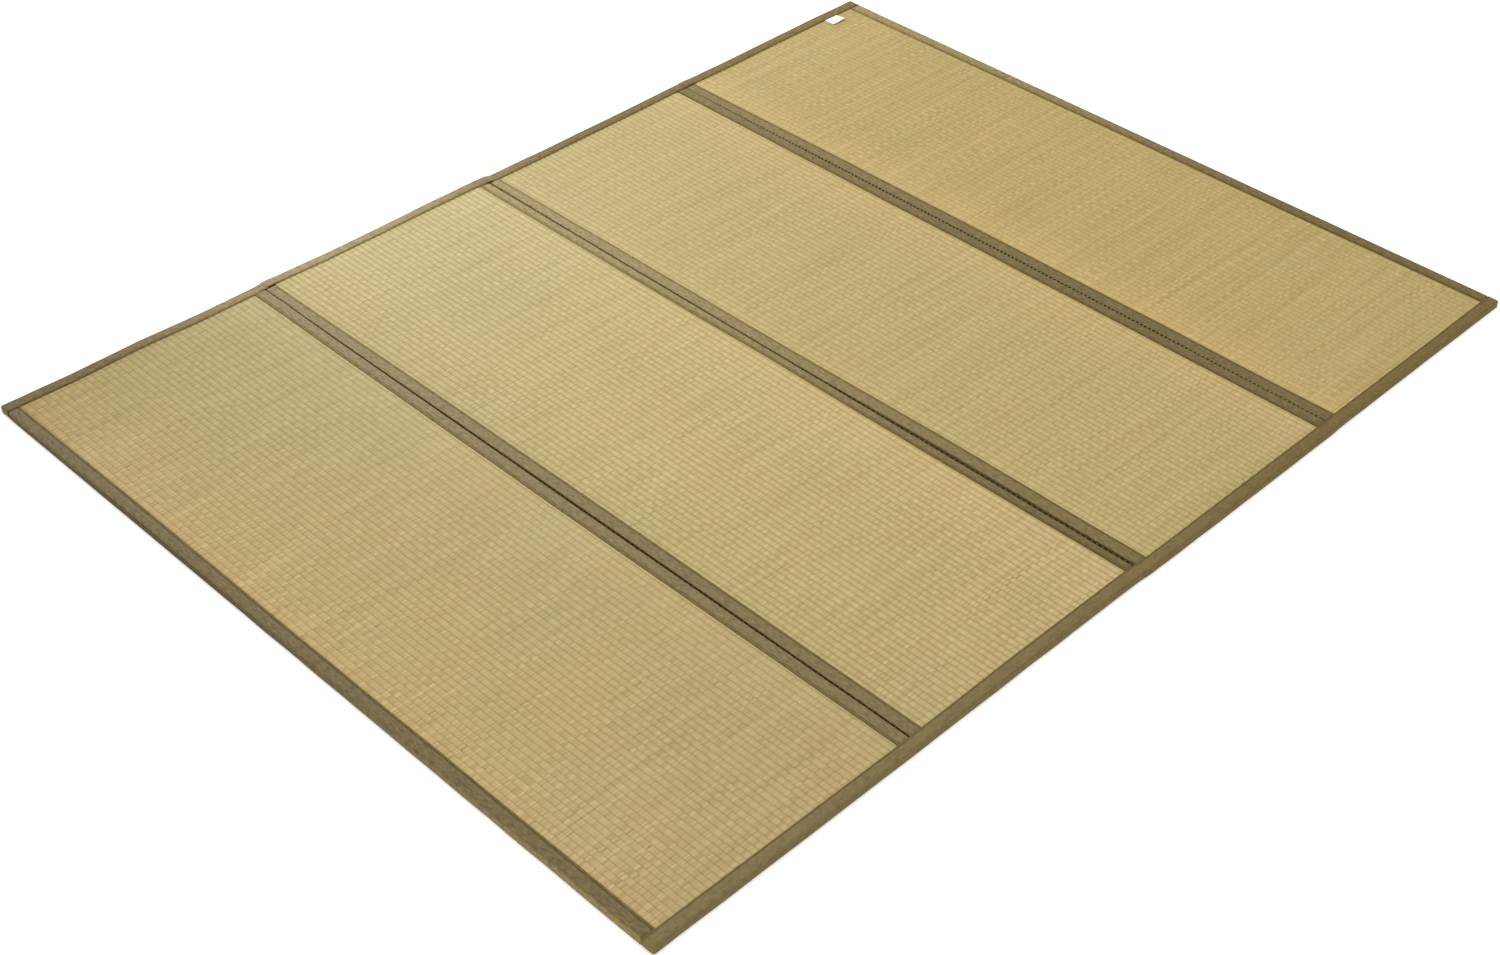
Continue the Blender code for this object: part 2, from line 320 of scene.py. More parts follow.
class Graph:
    """A material's node tree, built step by step."""

    def __init__(self, name: str) -> None:
        """Starts a material with one Principled shader."""
        self.material = bpy.data.materials.new(name)
        self.material.use_nodes = True
        self.tree = self.material.node_tree
        self.shader = self.tree.nodes["Principled BSDF"]

    def add(self, kind: str, inputs: dict[Any, Any], **settings: Any) -> bpy.types.Node:
        """One node, with its settings and inputs.

        Args:
            kind: The node's type name.
            inputs: By socket name or number, another node's socket to link or a value to set.
            **settings: The node's properties.

        Returns:
            The node.
        """
        node = self.tree.nodes.new(kind)
        for key, value in settings.items():
            setattr(node, key, value)
        for key, value in inputs.items():
            if isinstance(value, bpy.types.NodeSocket):
                self.tree.links.new(value, node.inputs[key])
            else:
                node.inputs[key].default_value = value
        return node

    def math(self, operation: str, *values: Any) -> bpy.types.NodeSocket:
        """The result of a Math node on these values."""
        return self.add("ShaderNodeMath", dict(enumerate(values)), operation=operation).outputs[0]

    def vector(self, x: Any, y: Any, z: Any = 0.0) -> bpy.types.NodeSocket:
        """A vector of three values."""
        return self.add("ShaderNodeCombineXYZ", {0: x, 1: y, 2: z}).outputs[0]

    def noise(self, vector: Any, detail: float = 0.0) -> bpy.types.NodeSocket:
        """Smooth noise at the vector, about -1 to 1."""
        node = self.add("ShaderNodeTexNoise", {"Vector": vector, "Scale": 1.0, "Detail": detail},
                        noise_dimensions="3D")
        return self.math("MULTIPLY_ADD", node.outputs["Fac"], 4.0, -2.0)

    def ramp(self, value: Any, start: float, end: float, low: float, high: float) -> bpy.types.NodeSocket:
        """low before start, high after end, smooth between."""
        node = self.add("ShaderNodeMapRange",
                        {"Value": value, "From Min": start, "From Max": end, "To Min": low, "To Max": high},
                        interpolation_type="SMOOTHSTEP")
        return node.outputs[0]

    def weighted(self, start: float, *pairs: tuple[float, Any]) -> bpy.types.NodeSocket:
        """start plus the sum of each weight times its value."""
        total: Any = start
        for weight, value in pairs:
            total = self.math("MULTIPLY_ADD", value, weight, total)
        return total

    def mix(self, share: Any, first: Any, second: Any) -> bpy.types.NodeSocket:
        """A colour between two colours."""
        return self.add("ShaderNodeMix", {0: share, 6: first, 7: second}, data_type="RGBA",
                        clamp_factor=True).outputs[2]

    def times(self, colour: Any, value: Any) -> bpy.types.NodeSocket:
        """A colour times a value."""
        colour = colour[:3] if isinstance(colour, tuple) else colour
        return self.add("ShaderNodeVectorMath", {0: colour, "Scale": value}, operation="SCALE").outputs[0]

    def lit(self, colour: Any, light: Any, green: float, blue: float) -> bpy.types.NodeSocket:
        """A colour times a light whose green and blue parts are the light to these powers."""
        parts = self.vector(light, self.math("POWER", light, green), self.math("POWER", light, blue))
        return self.add("ShaderNodeVectorMath", {0: colour, 1: parts}, operation="MULTIPLY").outputs[0]

    def bump(self, height: Any, distance: float, strength: float = 1.0, normal: Any = None) -> bpy.types.NodeSocket:
        """A normal from a height from 0 to 1 that stands for the distance, in mm."""
        inputs = {"Height": height, "Distance": distance * MM, "Strength": strength}
        if normal is not None:
            inputs["Normal"] = normal
        return self.add("ShaderNodeBump", inputs).outputs[0]

    def place(self) -> tuple[bpy.types.NodeSocket, bpy.types.NodeSocket, bpy.types.NodeSocket]:
        """x, y and z of the surface point, in mm."""
        node = self.add("ShaderNodeTexCoord", {})
        split = self.add("ShaderNodeSeparateXYZ", {0: node.outputs["Object"]})
        return tuple(self.math("MULTIPLY", split.outputs[i], 1.0 / MM) for i in range(3))

    def laid(self) -> tuple[bpy.types.NodeSocket, bpy.types.NodeSocket]:
        """The way across and along the piece as it was laid out, in mm, from its UV map."""
        node = self.add("ShaderNodeUVMap", {}, uv_map="laid")
        split = self.add("ShaderNodeSeparateXYZ", {0: node.outputs["UV"]})
        return tuple(self.math("MULTIPLY", split.outputs[i], UV_UNIT) for i in range(2))

    def finish(self, colour: Any, roughness: Any, normal: Any, **constants: Any) -> bpy.types.Material:
        """Joins the shader up.

        Args:
            colour: The base colour.
            roughness: The roughness.
            normal: The bumped normal.
            **constants: Plain values of other shader inputs, with _ for a blank.

        Returns:
            The material.
        """
        for key, value in (("Base Color", colour), ("Roughness", roughness), ("Normal", normal)):
            if isinstance(value, bpy.types.NodeSocket):
                self.tree.links.new(value, self.shader.inputs[key])
            else:
                self.shader.inputs[key].default_value = value
        for key, value in constants.items():
            self.shader.inputs[key.replace("_", " ")].default_value = value
        return self.material


@dataclass(frozen=True)
class Glow:
    """How one side of a panel differs: the light's share more and the green's share less there."""

    light: float
    straw: float
    reach: float


@dataclass(frozen=True)
class RushFinish:
    """Woven rush: straw-coloured stalks across the panel, over and under the warps in turn.

    The UV map's first value counts ridges, each between two grooves. Each stalk shows on every
    other ridge, so its number counts stalks along y with half a stalk added on odd ridges, and its
    tone is a slow noise of x of its own. Streaks are as long as the panel is wide. The colour's
    blue part is multiplied by the first of blues at the near end and by the second at the far end.
    """

    panel: Panel
    edges: tuple[float, float]
    seed: float
    straw: tuple[float, float, float, float]
    green: tuple[float, float, float, float]
    greenness: float
    left: Glow
    right: Glow
    far_green: float
    far_painted_light: tuple[float, float]
    blues: tuple[float, float]
    foot: float
    foot_reach: float
    run: float = 300.0
    left_reach: float = 3.4
    left_contrast: float = 1.0
    stalk: float = 2.1

    def make(self, name: str) -> bpy.types.Material:
        """The material."""
        g = Graph(name)
        x, y, _ = g.place()
        ridge = g.math("DIVIDE", g.laid()[0], self.panel.pitch)
        number = g.math("FLOOR", ridge)
        odd = g.math("FLOORED_MODULO", number, 2.0)
        from_groove = g.math("MULTIPLY", g.math("PINGPONG", ridge, 0.5), self.panel.pitch)

        wander = g.noise(g.vector(g.math("DIVIDE", x, 170.0), g.math("DIVIDE", y, 40.0), self.seed))
        lane = g.weighted(y, (0.7, wander))
        count = g.weighted(g.math("DIVIDE", lane, self.stalk), (0.5, odd))
        stalk = g.math("FLOOR", count)
        across = g.math("SUBTRACT", count, stalk)
        round_back = g.math("MULTIPLY", g.math("MULTIPLY", across, g.math("SUBTRACT", 1.0, across)), 4.0)

        layer = g.weighted(self.seed, (37.0, odd))
        far_x = g.math("DIVIDE", x, self.run)
        tone = g.noise(g.vector(far_x, g.math("MULTIPLY", stalk, 7.31), layer), 2.0)
        band = g.noise(g.vector(far_x, g.math("DIVIDE", lane, 6.0), layer), 1.0)
        cell = g.noise(g.vector(g.math("MULTIPLY", number, 5.7), g.math("DIVIDE", lane, 4.0), layer))
        streak = g.noise(g.vector(g.math("DIVIDE", x, 1500.0), g.math("DIVIDE", y, 13.0), self.seed + 4.0), 2.0)
        zone = g.noise(g.vector(g.math("DIVIDE", x, 190.0), g.math("DIVIDE", y, 150.0), self.seed + 9.0), 1.0)
        hue = g.noise(g.vector(far_x, g.math("MULTIPLY", stalk, 3.17), g.math("ADD", layer, 90.0)))
        loose = g.noise(g.vector(g.math("DIVIDE", x, 0.4 * self.run), g.math("MULTIPLY", stalk, 5.13),
                                 g.math("ADD", layer, 17.0)), 1.0)

        start, end = self.edges
        left = g.ramp(x, start + 18.0, start + 18.0 + self.left.reach, 1.0, 0.0)
        right = g.ramp(x, end - 18.0 - self.right.reach, end - 18.0, 0.0, 1.0)
        uneven = g.math("MULTIPLY", g.weighted(0.0, (0.2, tone), (0.025, band), (0.05, cell)),
                        g.ramp(x, start + 60.0, start + 260.0, self.left_contrast, 1.0))
        # far_painted_light is a painted highlight and shade over the far end, from the panel's left to its right.
        light = g.weighted(1.05, (1.0, uneven), (0.02, streak), (0.012, zone),
                           (self.left.light, left), (self.right.light, right),
                           (1.0, g.math("MULTIPLY", g.ramp(y, 520.0, 800.0, 0.0, 1.0),
                                        g.ramp(x, start, end, *self.far_painted_light))))
        # Painted shade in the gaps between stalks, deeper where the stalks lie loose.
        valley = g.ramp(round_back, 0.0, 0.85, 1.0, 0.0)
        gap = g.math("MULTIPLY", valley, g.ramp(loose, 0.0, 0.6, 0.06, 0.5))
        light = g.math("MULTIPLY", light, g.math("SUBTRACT", 1.0, gap))
        far = g.math("MULTIPLY", g.ramp(y, 150.0, 600.0, 0.0, 1.0), g.ramp(x, start + 70.0, start + 270.0, 0.0, 1.0))
        green_share = g.weighted(self.greenness, (0.06, hue), (0.2, zone), (0.1, streak), (self.far_green, far),
                                 (-self.left.straw, left), (-self.right.straw, right))
        colour = g.lit(g.mix(green_share, self.straw, self.green), light, 1.15, 1.85)
        cool = g.math("MULTIPLY", g.ramp(y, -800.0, -300.0, self.blues[0], 1.0),
                      g.ramp(y, 150.0, 740.0, 1.0, self.blues[1]))
        colour = g.add("ShaderNodeVectorMath", {0: colour, 1: g.vector(1.0, 1.0, cool)}, operation="MULTIPLY").outputs[0]
        # Painted shade in the grooves: towards each groove the colour falls to foot, over reach mm from it.
        foot = (self.foot, 0.985 * self.foot, 0.87 * self.foot)
        shade = g.add("ShaderNodeVectorMath", {0: colour, 1: foot}, operation="MULTIPLY").outputs[0]
        reach = g.ramp(x, start + 60.0, start + 260.0, self.left_reach, self.foot_reach)
        colour = g.mix(g.ramp(from_groove, 0.0, reach, 1.0, 0.0), colour, shade)
        mark = g.add("ShaderNodeTexWhiteNoise",
                     {"Vector": g.vector(g.math("FLOOR", g.math("DIVIDE", x, 4.0)), stalk, odd)},
                     noise_dimensions="3D").outputs["Value"]
        colour = g.mix(g.ramp(mark, 0.99975, 0.99985, 0.0, 0.55), colour, (0.09, 0.06, 0.03, 1.0))
        rough = g.weighted(0.46, (0.05, tone), (0.03, wander))
        normal = g.bump(round_back, 0.3, 0.8)
        normal = g.bump(g.weighted(0.5, (0.3, band), (0.2, tone)), 0.35, 0.6, normal)
        return g.finish(colour, rough, normal, Specular_IOR_Level=0.4, Specular_Tint=(1.0, 0.92, 0.7, 1.0))


@dataclass(frozen=True)
class ClothFinish:
    """Plain-woven binding cloth, darker along the seam and on the hem inside it: painted shade where the seam pulls the
    cloth down.

    Its UV map counts mm across from the seam, with the hem below 0, and mm along. The weave's
    height is the product of two sine waves, one each way. Its light goes from near_painted_light to
    far_painted_light over the way along, a painted highlight and shade, is multiplied by side_painted_light_near to
    side_painted_light_far on the face that stands on edge, side_at across, as painted light and shade on that face,
    and gains painted_sheen, a painted sheen, round the place spot_at. It falls to slit_shade in the slit
    under the next binding's hem, slit_at along, as painted shade under that hem, and to a painted
    shadow line at the hem's free edge, hem_line across. Its blue part goes from near_blue to far_blue
    over the way along and gains painted_sheen_blue, a painted greyish sheen, round spot_at, the green part a
    quarter as far.
    """

    colour: tuple[float, float, float, float]
    warm: tuple[float, float, float, float]
    near_painted_light: float = 1.0
    far_painted_light: float = 1.0
    fade_from: float = -500.0
    side_at: float = 18.0
    side_painted_light_near: float = 1.0
    side_painted_light_far: float = 1.0
    spot_at: float = 0.0
    spot_reach: float = 450.0
    painted_sheen: float = 0.0
    painted_sheen_blue: float = 0.0
    near_blue: float = 1.0
    far_blue: float = 1.0
    slit_at: float = 9999.0
    slit_shade: float = 1.0
    hem_line: float = -3.4
    hem_dark: float = 0.88
    seam_dark: float = 0.82
    thread: float = 1.1
    blotch: float = 0.1
    fleck: float = 0.34
    gloss: float = 0.1
    gloss_tint: tuple[float, float, float, float] = (1.0, 0.86, 0.55, 1.0)
    roughness: float = 0.55
    seed: float = 0.0

    def make(self, name: str) -> bpy.types.Material:
        """The material."""
        g = Graph(name)
        across, along = g.laid()
        turn = 2.0 * math.pi / self.thread
        up = g.math("SINE", g.math("MULTIPLY", across, turn))
        down = g.math("SINE", g.math("MULTIPLY", along, turn))
        weave = g.weighted(0.5, (0.5, g.math("MULTIPLY", up, down)))
        yarn = g.noise(g.vector(g.math("DIVIDE", across, 0.9), g.math("DIVIDE", along, 14.0), self.seed + 3.0))
        pick = g.noise(g.vector(g.math("DIVIDE", across, 9.0), g.math("DIVIDE", along, 1.1), self.seed + 5.0))
        blotch = g.noise(g.vector(g.math("DIVIDE", across, 18.0), g.math("DIVIDE", along, 38.0), self.seed), 2.0)
        fleck = g.noise(g.vector(g.math("DIVIDE", across, 3.6), g.math("DIVIDE", along, 11.0), self.seed + 8.0), 2.0)
        light = g.weighted(0.95, (0.1, weave), (0.05, yarn), (0.08, pick), (self.blotch, blotch),
                           (self.fleck, fleck))
        # Painted shade along the seam and on the hem, where the seam pulls the cloth down.
        seam = g.ramp(g.math("ABSOLUTE", across), 0.4, 1.4, self.seam_dark, 1.0)
        hem = g.ramp(across, -0.8, 1.2, self.hem_dark, 1.0)
        # Painted highlight and shade along the binding, plus a painted sheen and a greyish painted reflection round
        # spot_at.
        fade = g.ramp(along, self.fade_from, 900.0, self.near_painted_light, self.far_painted_light)
        away = g.math("ABSOLUTE", g.math("SUBTRACT", along, self.spot_at))
        sheen = g.ramp(away, 0.0, self.spot_reach, self.painted_sheen, 0.0)
        cool = g.math("ADD", g.ramp(along, -1000.0, 1000.0, self.near_blue, self.far_blue),
                      g.ramp(away, 0.0, self.spot_reach, self.painted_sheen_blue, 0.0))
        # Painted light and shade on the face that stands on edge, browner where it is shaded.
        on_side = g.math("MULTIPLY", g.ramp(across, self.side_at, self.side_at + 2.5, 0.0, 1.0),
                         g.ramp(across, self.side_at + 11.0, self.side_at + 15.0, 1.0, 0.0))
        side = g.weighted(1.0, (1.0, g.math("MULTIPLY", on_side, g.ramp(along, -900.0, 300.0, self.side_painted_light_near - 1.0,
                                                                        self.side_painted_light_far - 1.0))))
        # Painted shadow line at the hem's free edge, and painted shade in the slit under the next binding's hem.
        edge = g.ramp(across, self.hem_line - 1.3, self.hem_line, 0.55, 1.0)
        edge = g.math("MULTIPLY", edge, g.ramp(along, self.slit_at - 2.2, self.slit_at - 0.8, 1.0, self.slit_shade))
        light = g.math("MULTIPLY", g.math("MULTIPLY", light, edge), g.math("MULTIPLY", seam, hem))
        light = g.math("MULTIPLY", light, g.math("ADD", fade, sheen))
        warmth = g.weighted(g.ramp(across, -1.0, 1.4, 0.8, 0.1), (0.22, blotch), (0.12, fleck))
        colour = g.times(g.mix(warmth, self.colour, self.warm), light)
        low = g.math("MINIMUM", side, 1.0)
        green = g.math("MULTIPLY", g.math("POWER", cool, 0.25), g.math("POWER", low, 0.1))
        blue = g.math("MULTIPLY", cool, g.math("POWER", low, 0.6))
        shade = g.vector(side, g.math("MULTIPLY", side, green), g.math("MULTIPLY", side, blue))
        colour = g.add("ShaderNodeVectorMath", {0: colour, 1: shade}, operation="MULTIPLY").outputs[0]
        height = g.weighted(weave, (0.25, yarn), (0.25, pick))
        normal = g.bump(height, 0.18, 0.7)
        normal = g.bump(g.weighted(0.5, (0.3, blotch), (0.2, fleck)), 0.4, 0.5, normal)
        return g.finish(colour, self.roughness, normal, Specular_IOR_Level=self.gloss, Specular_Tint=self.gloss_tint)


@dataclass(frozen=True)
class ThreadFinish:
    """Twisted sewing thread: fine slanting lines from the sum of x, y and z."""

    colour: tuple[float, float, float, float]

    def make(self, name: str) -> bpy.types.Material:
        """The material."""
        g = Graph(name)
        x, y, z = g.place()
        slant = g.math("SINE", g.math("MULTIPLY", g.weighted(0.0, (1.0, x), (1.3, y), (0.7, z)), 9.0))
        tone = g.noise(g.vector(g.math("DIVIDE", x, 6.0), g.math("DIVIDE", y, 9.0)), 1.0)
        colour = g.times(self.colour, g.weighted(1.0, (0.1, slant), (0.1, tone)))
        return g.finish(colour, 0.75, g.bump(g.weighted(0.5, (0.5, slant)), 0.12), Specular_IOR_Level=0.3)


@dataclass(frozen=True)
class LabelFinish:
    """White label cloth: a fine weave with a faint warm tint that comes and goes, its free edge painted dark as the
    shade under its lifted edge.
    """

    free_y: float

    def make(self, name: str) -> bpy.types.Material:
        """The material."""
        g = Graph(name)
        x, y, _ = g.place()
        up = g.math("SINE", g.math("MULTIPLY", x, 9.0))
        down = g.math("SINE", g.math("MULTIPLY", y, 9.0))
        weave = g.weighted(0.5, (0.5, g.math("MULTIPLY", up, down)))
        tint = g.ramp(g.noise(g.vector(g.math("DIVIDE", x, 16.0), g.math("DIVIDE", y, 11.0)), 1.0), -0.5, 1.0, 0.0, 1.0)
        # Painted shade: the label darkens along its free edge.
        light = g.math("MULTIPLY", g.weighted(0.97, (0.03, weave)),
                       g.ramp(y, self.free_y + 0.1, self.free_y + 0.9, 0.12, 1.0))
        colour = g.times(g.mix(tint, (0.76, 0.74, 0.72, 1.0), (0.76, 0.70, 0.68, 1.0)), light)
        return g.finish(colour, 0.7, g.bump(weave, 0.1, 0.5), Specular_IOR_Level=0.3)


class Side(Enum):
    """Which way a long binding's panel lies from its edge."""

    LEFT_EDGE = 1
    RIGHT_EDGE = -1


class End(Enum):
    """The two ends of the mat."""

    NEAR = 1
    FAR = -1


@dataclass
class RushPanel:
    """One woven rush slab.

    The face's height is the rush's top less the groove depth times a relief, which is 1 at a
    groove's foot: a bell of the distance from the groove, plus the arch share of 1 minus the sine
    of the way over the ridge. Under a binding the relief is pressed flat and the face sinks.
    """

    index: int
    layout: Layout
    finish: bpy.types.Material
    depth: float = 0.42
    groove_half: float = 1.6
    rows: int = 150
    swell: float = 0.22

    def columns(self) -> tuple[np.ndarray, np.ndarray]:
        """Undrifted x of the grid's columns, and the count of ridges to each from the first groove."""
        panel = self.layout.panels[self.index]
        left, right = self.layout.edges[self.index:self.index + 2]
        side = self.layout.bend + self.layout.fold_gap / 2
        shares = np.array([0.0, 0.1, 0.3, 0.7, 0.9])
        first = math.floor((left - panel.groove) / panel.pitch) - 1
        k = np.arange(first, first + math.ceil(panel.width / panel.pitch) + 3)
        grooves = panel.groove + panel.pitch * k + panel.stagger * (1.0 - 2.0 * (k % 2))
        x = (grooves[:-1, None] + np.diff(grooves)[:, None] * shares).ravel()
        ridges = (k[:-1, None] + shares).ravel()
        reach = side + 1.0 + max(abs(a) for a in panel.drift_left + panel.drift_right)
        kept = (x > left + reach) & (x < right - reach)
        ends = np.array([left + side, right - side])
        end_ridges = (ends - panel.groove) / panel.pitch
        return (np.concatenate([ends[:1], x[kept], ends[1:]]),
                np.concatenate([end_ridges[:1], ridges[kept], end_ridges[1:]]))

    def grids(self) -> tuple[np.ndarray, np.ndarray, np.ndarray]:
        """The upper and the lower grid of points, and the UV map's values of either."""
        lay = self.layout
        panel = lay.panels[self.index]
        left, right = lay.edges[self.index:self.index + 2]
        xs, ridges = self.columns()
        near = lay.near_y(xs)
        far = lay.far_y(xs)
        inside = np.array([-2.0, 0.3, 1.1])[:, None]
        bend = np.full((1, len(xs)), lay.bend)
        near_v = np.concatenate([bend, lay.near_cover(xs) + inside])
        far_v = np.concatenate([lay.far_cover(xs) + inside[::-1], bend])
        start = near_v[-1] + 2.5
        middle = np.linspace(0.0, 1.0, self.rows)[:, None] * (far - near - start - far_v[0] - 2.5)
        y = np.concatenate([near + near_v, near + start + middle, far - far_v])
        drift = panel.drift((xs - left) / panel.width, y)
        drift[:, [0, -1]] = 0.0
        x = xs + drift
        v_near = y - near
        v_far = far - y
        v_end = np.minimum(v_near - lay.near_cover(xs), v_far - lay.far_cover(xs))
        is_left = x < (left + right) / 2
        u = np.where(is_left, x - left, right - x)
        width = np.where(is_left, panel.binding(True, y), panel.binding(False, y))
        under_long = 1.0 - ease(u, width - 1.2, width + 1.0)
        under_end = 1.0 - ease(v_end, -1.2, 1.0)
        dive = 1.0 - ease(v_end, lay.gap, lay.dive)
        pressed = np.maximum(under_long, under_end)
        close = np.maximum(1.0 - ease(u, width, width + 7.0), 1.0 - ease(v_end, 0.0, 7.0))
        outer = (is_left & (self.index == 0)) | (~is_left & (self.index == len(lay.panels) - 1))
        inset = np.where(outer, lay.under * dive * (1.0 - ease(u, 6.0, 16.0)), 0.0)
        x = x + np.where(is_left, inset, -inset)

        share = ridges - np.floor(ridges)
        from_groove = np.minimum(share, 1.0 - share) * panel.pitch
        relief = (1.0 - panel.arch) * hill(from_groove, 0.0, self.groove_half) + panel.arch * (
            1.0 - np.sin(math.pi * share))
        relief = relief * (1.0 - pressed)
        lumps = Ripple(11 + self.index, 90.0, 45.0).at(x, y) * 0.6 + Ripple(31 + self.index, 700.0, 19.0).at(x, y) * 0.4
        rim_drop = lay.rush_top - (lay.long_top - lay.under)
        top = (lay.rush_top - self.depth * relief - under_long * rim_drop
               - (lay.long_top - lay.rush_top) * under_long * dive
               - 0.05 * close * (1.0 - pressed) + self.swell * (lumps - 0.4) * (1.0 - close))
        low = np.maximum(under_end * lay.under, under_long * lay.under * (1.0 + dive))
        bottom = low + self.depth * relief + 0.1 * (1.0 - pressed)
        uv = np.stack([np.broadcast_to(ridges * panel.pitch, y.shape), y], axis=-1)
        return np.stack([x, y, top], axis=-1), np.stack([x, y, bottom], axis=-1), uv

    def build(self) -> bpy.types.Object:
        """The panel's piece."""
        upper, lower, uv = self.grids()
        quads = closed_between(upper, lower, False)
        points = np.concatenate([upper.reshape(-1, 3), lower.reshape(-1, 3)])
        uv = np.concatenate([uv.reshape(-1, 2)] * 2)
        return make_piece(f"woven_rush_{self.index + 1}", points, quads, uv, self.finish, 60.0)

    def dress(self) -> bpy.types.Object:
        piece = self.build()
        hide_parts(f"rush_panel_{self.index + 1}")
        return piece


@dataclass(frozen=True)
class Fold:
    """The section of a cloth strip folded round an edge, as arrays over its stations.

    Points run from the upper leg's free edge round the two bends to the lower leg's free edge.
    The upper leg dips along the seam by a bell of the distance from it, swells between the seam
    and the bend by a sine, and its last half millimetre rolls down.
    """

    bend: float
    seam: float
    cloth: float
    low_bend: float = 2.0
    dip: float = 0.5
    swell: float = 0.3
    roll: float = 0.45

    def upper_shift(self, width: np.ndarray, v: np.ndarray, flat: np.ndarray, puff: np.ndarray) -> np.ndarray:
        """How far the upper leg stands off its plain height.

        Args:
            width: Width of the strip at the point.
            v: Distance in from the edge that it is folded round.
            flat: 1 where another cloth presses it flat, 0 where it is free.
            puff: Factor of the swell.

        Returns:
            The shift in mm, in the points' shape.
        """
        hem = width - v
        body = np.clip((hem - self.seam) / (width - self.seam - self.bend), 0.0, 1.0)
        dip = self.dip * hill(hem, self.seam, 1.0)
        margin = 0.22 * self.dip * (1.0 - ease(hem, self.seam - 1.2, self.seam + 1.2))
        return (self.swell * puff * np.sin(math.pi * body) ** 0.8 - dip - margin) * (1.0 - flat)

    def rings(self, width: np.ndarray, top: np.ndarray, bottom: np.ndarray, pull: np.ndarray,
              drop: np.ndarray, flat: np.ndarray, puff: np.ndarray) -> tuple[np.ndarray, np.ndarray, np.ndarray]:
        """The outer and inner rings, and the way round.

        Args:
            width: Width of the strip at each station.
            top: Height of its upper face.
            bottom: Height of its lower face.
            pull: How far the bends are pulled inwards.
            drop: How much less than the bend radius the bends have left.
            flat: 1 where the strip is pressed flat.
            puff: Factor of the swell.

        Returns:
            Outer (v, z), inner (v, z) and the distance round from the seam, by station and point.
        """
        width, top, bottom, pull, drop, flat, puff = (
            np.broadcast_to(np.asarray(a, float), np.shape(width))[:, None]
            for a in (width, top, bottom, pull, drop, flat, puff))
        hems = np.array([0.0, 0.5, self.seam - 0.9, self.seam, self.seam + 1.0])
        spread = np.array([0.12, 0.35, 0.62, 0.85])
        turn = np.radians([0.0, 25.0, 50.0, 75.0])
        rings = []
        for inset in (0.0, self.cloth):
            radius = np.minimum(self.bend - drop, (top - bottom) / 2 - 0.1) - inset
            low = np.minimum(radius, self.low_bend - inset)
            start = pull + inset + radius
            low_start = pull + inset + low
            hem_end = width - hems[-1]
            leg = np.concatenate([width - hems, hem_end + (start - hem_end) * spread], axis=1)
            shift = self.upper_shift(width, leg, flat, puff)
            rolled = self.roll * (1.0 - ease(width - leg, 0.0, 0.6)) * (1.0 - flat) * (0.0 if inset else 1.0)
            upper = np.stack([leg, top - inset + shift - rolled], axis=-1)
            bend_up = np.stack([start - radius * np.sin(turn), top - inset - radius + radius * np.cos(turn)], axis=-1)
            side = np.stack([(pull + inset) * np.ones((1, 2)),
                             np.concatenate([top - inset - radius, bottom + inset + low], axis=1)], axis=-1)
            bend_low = np.stack([low_start - low * np.cos(turn[1:]),
                                 bottom + inset + low - low * np.sin(turn[1:])], axis=-1)
            back = np.concatenate([low_start, low_start + (width - low_start) * 0.45, width - self.seam - 0.8,
                                   width - self.seam, width - 0.6, width], axis=1)
            groove = 0.3 * hill(width - back, self.seam, 0.7)
            lower = np.stack([back, bottom + inset + groove], axis=-1)
            rings.append(np.concatenate([upper, bend_up, side, bend_low, lower], axis=1))
        outer, inner = rings
        steps = np.linalg.norm(np.diff(outer, axis=1), axis=-1)
        way = np.concatenate([np.zeros((len(steps), 1)), np.cumsum(steps, axis=1)], axis=1) - self.seam
        return outer, inner, way


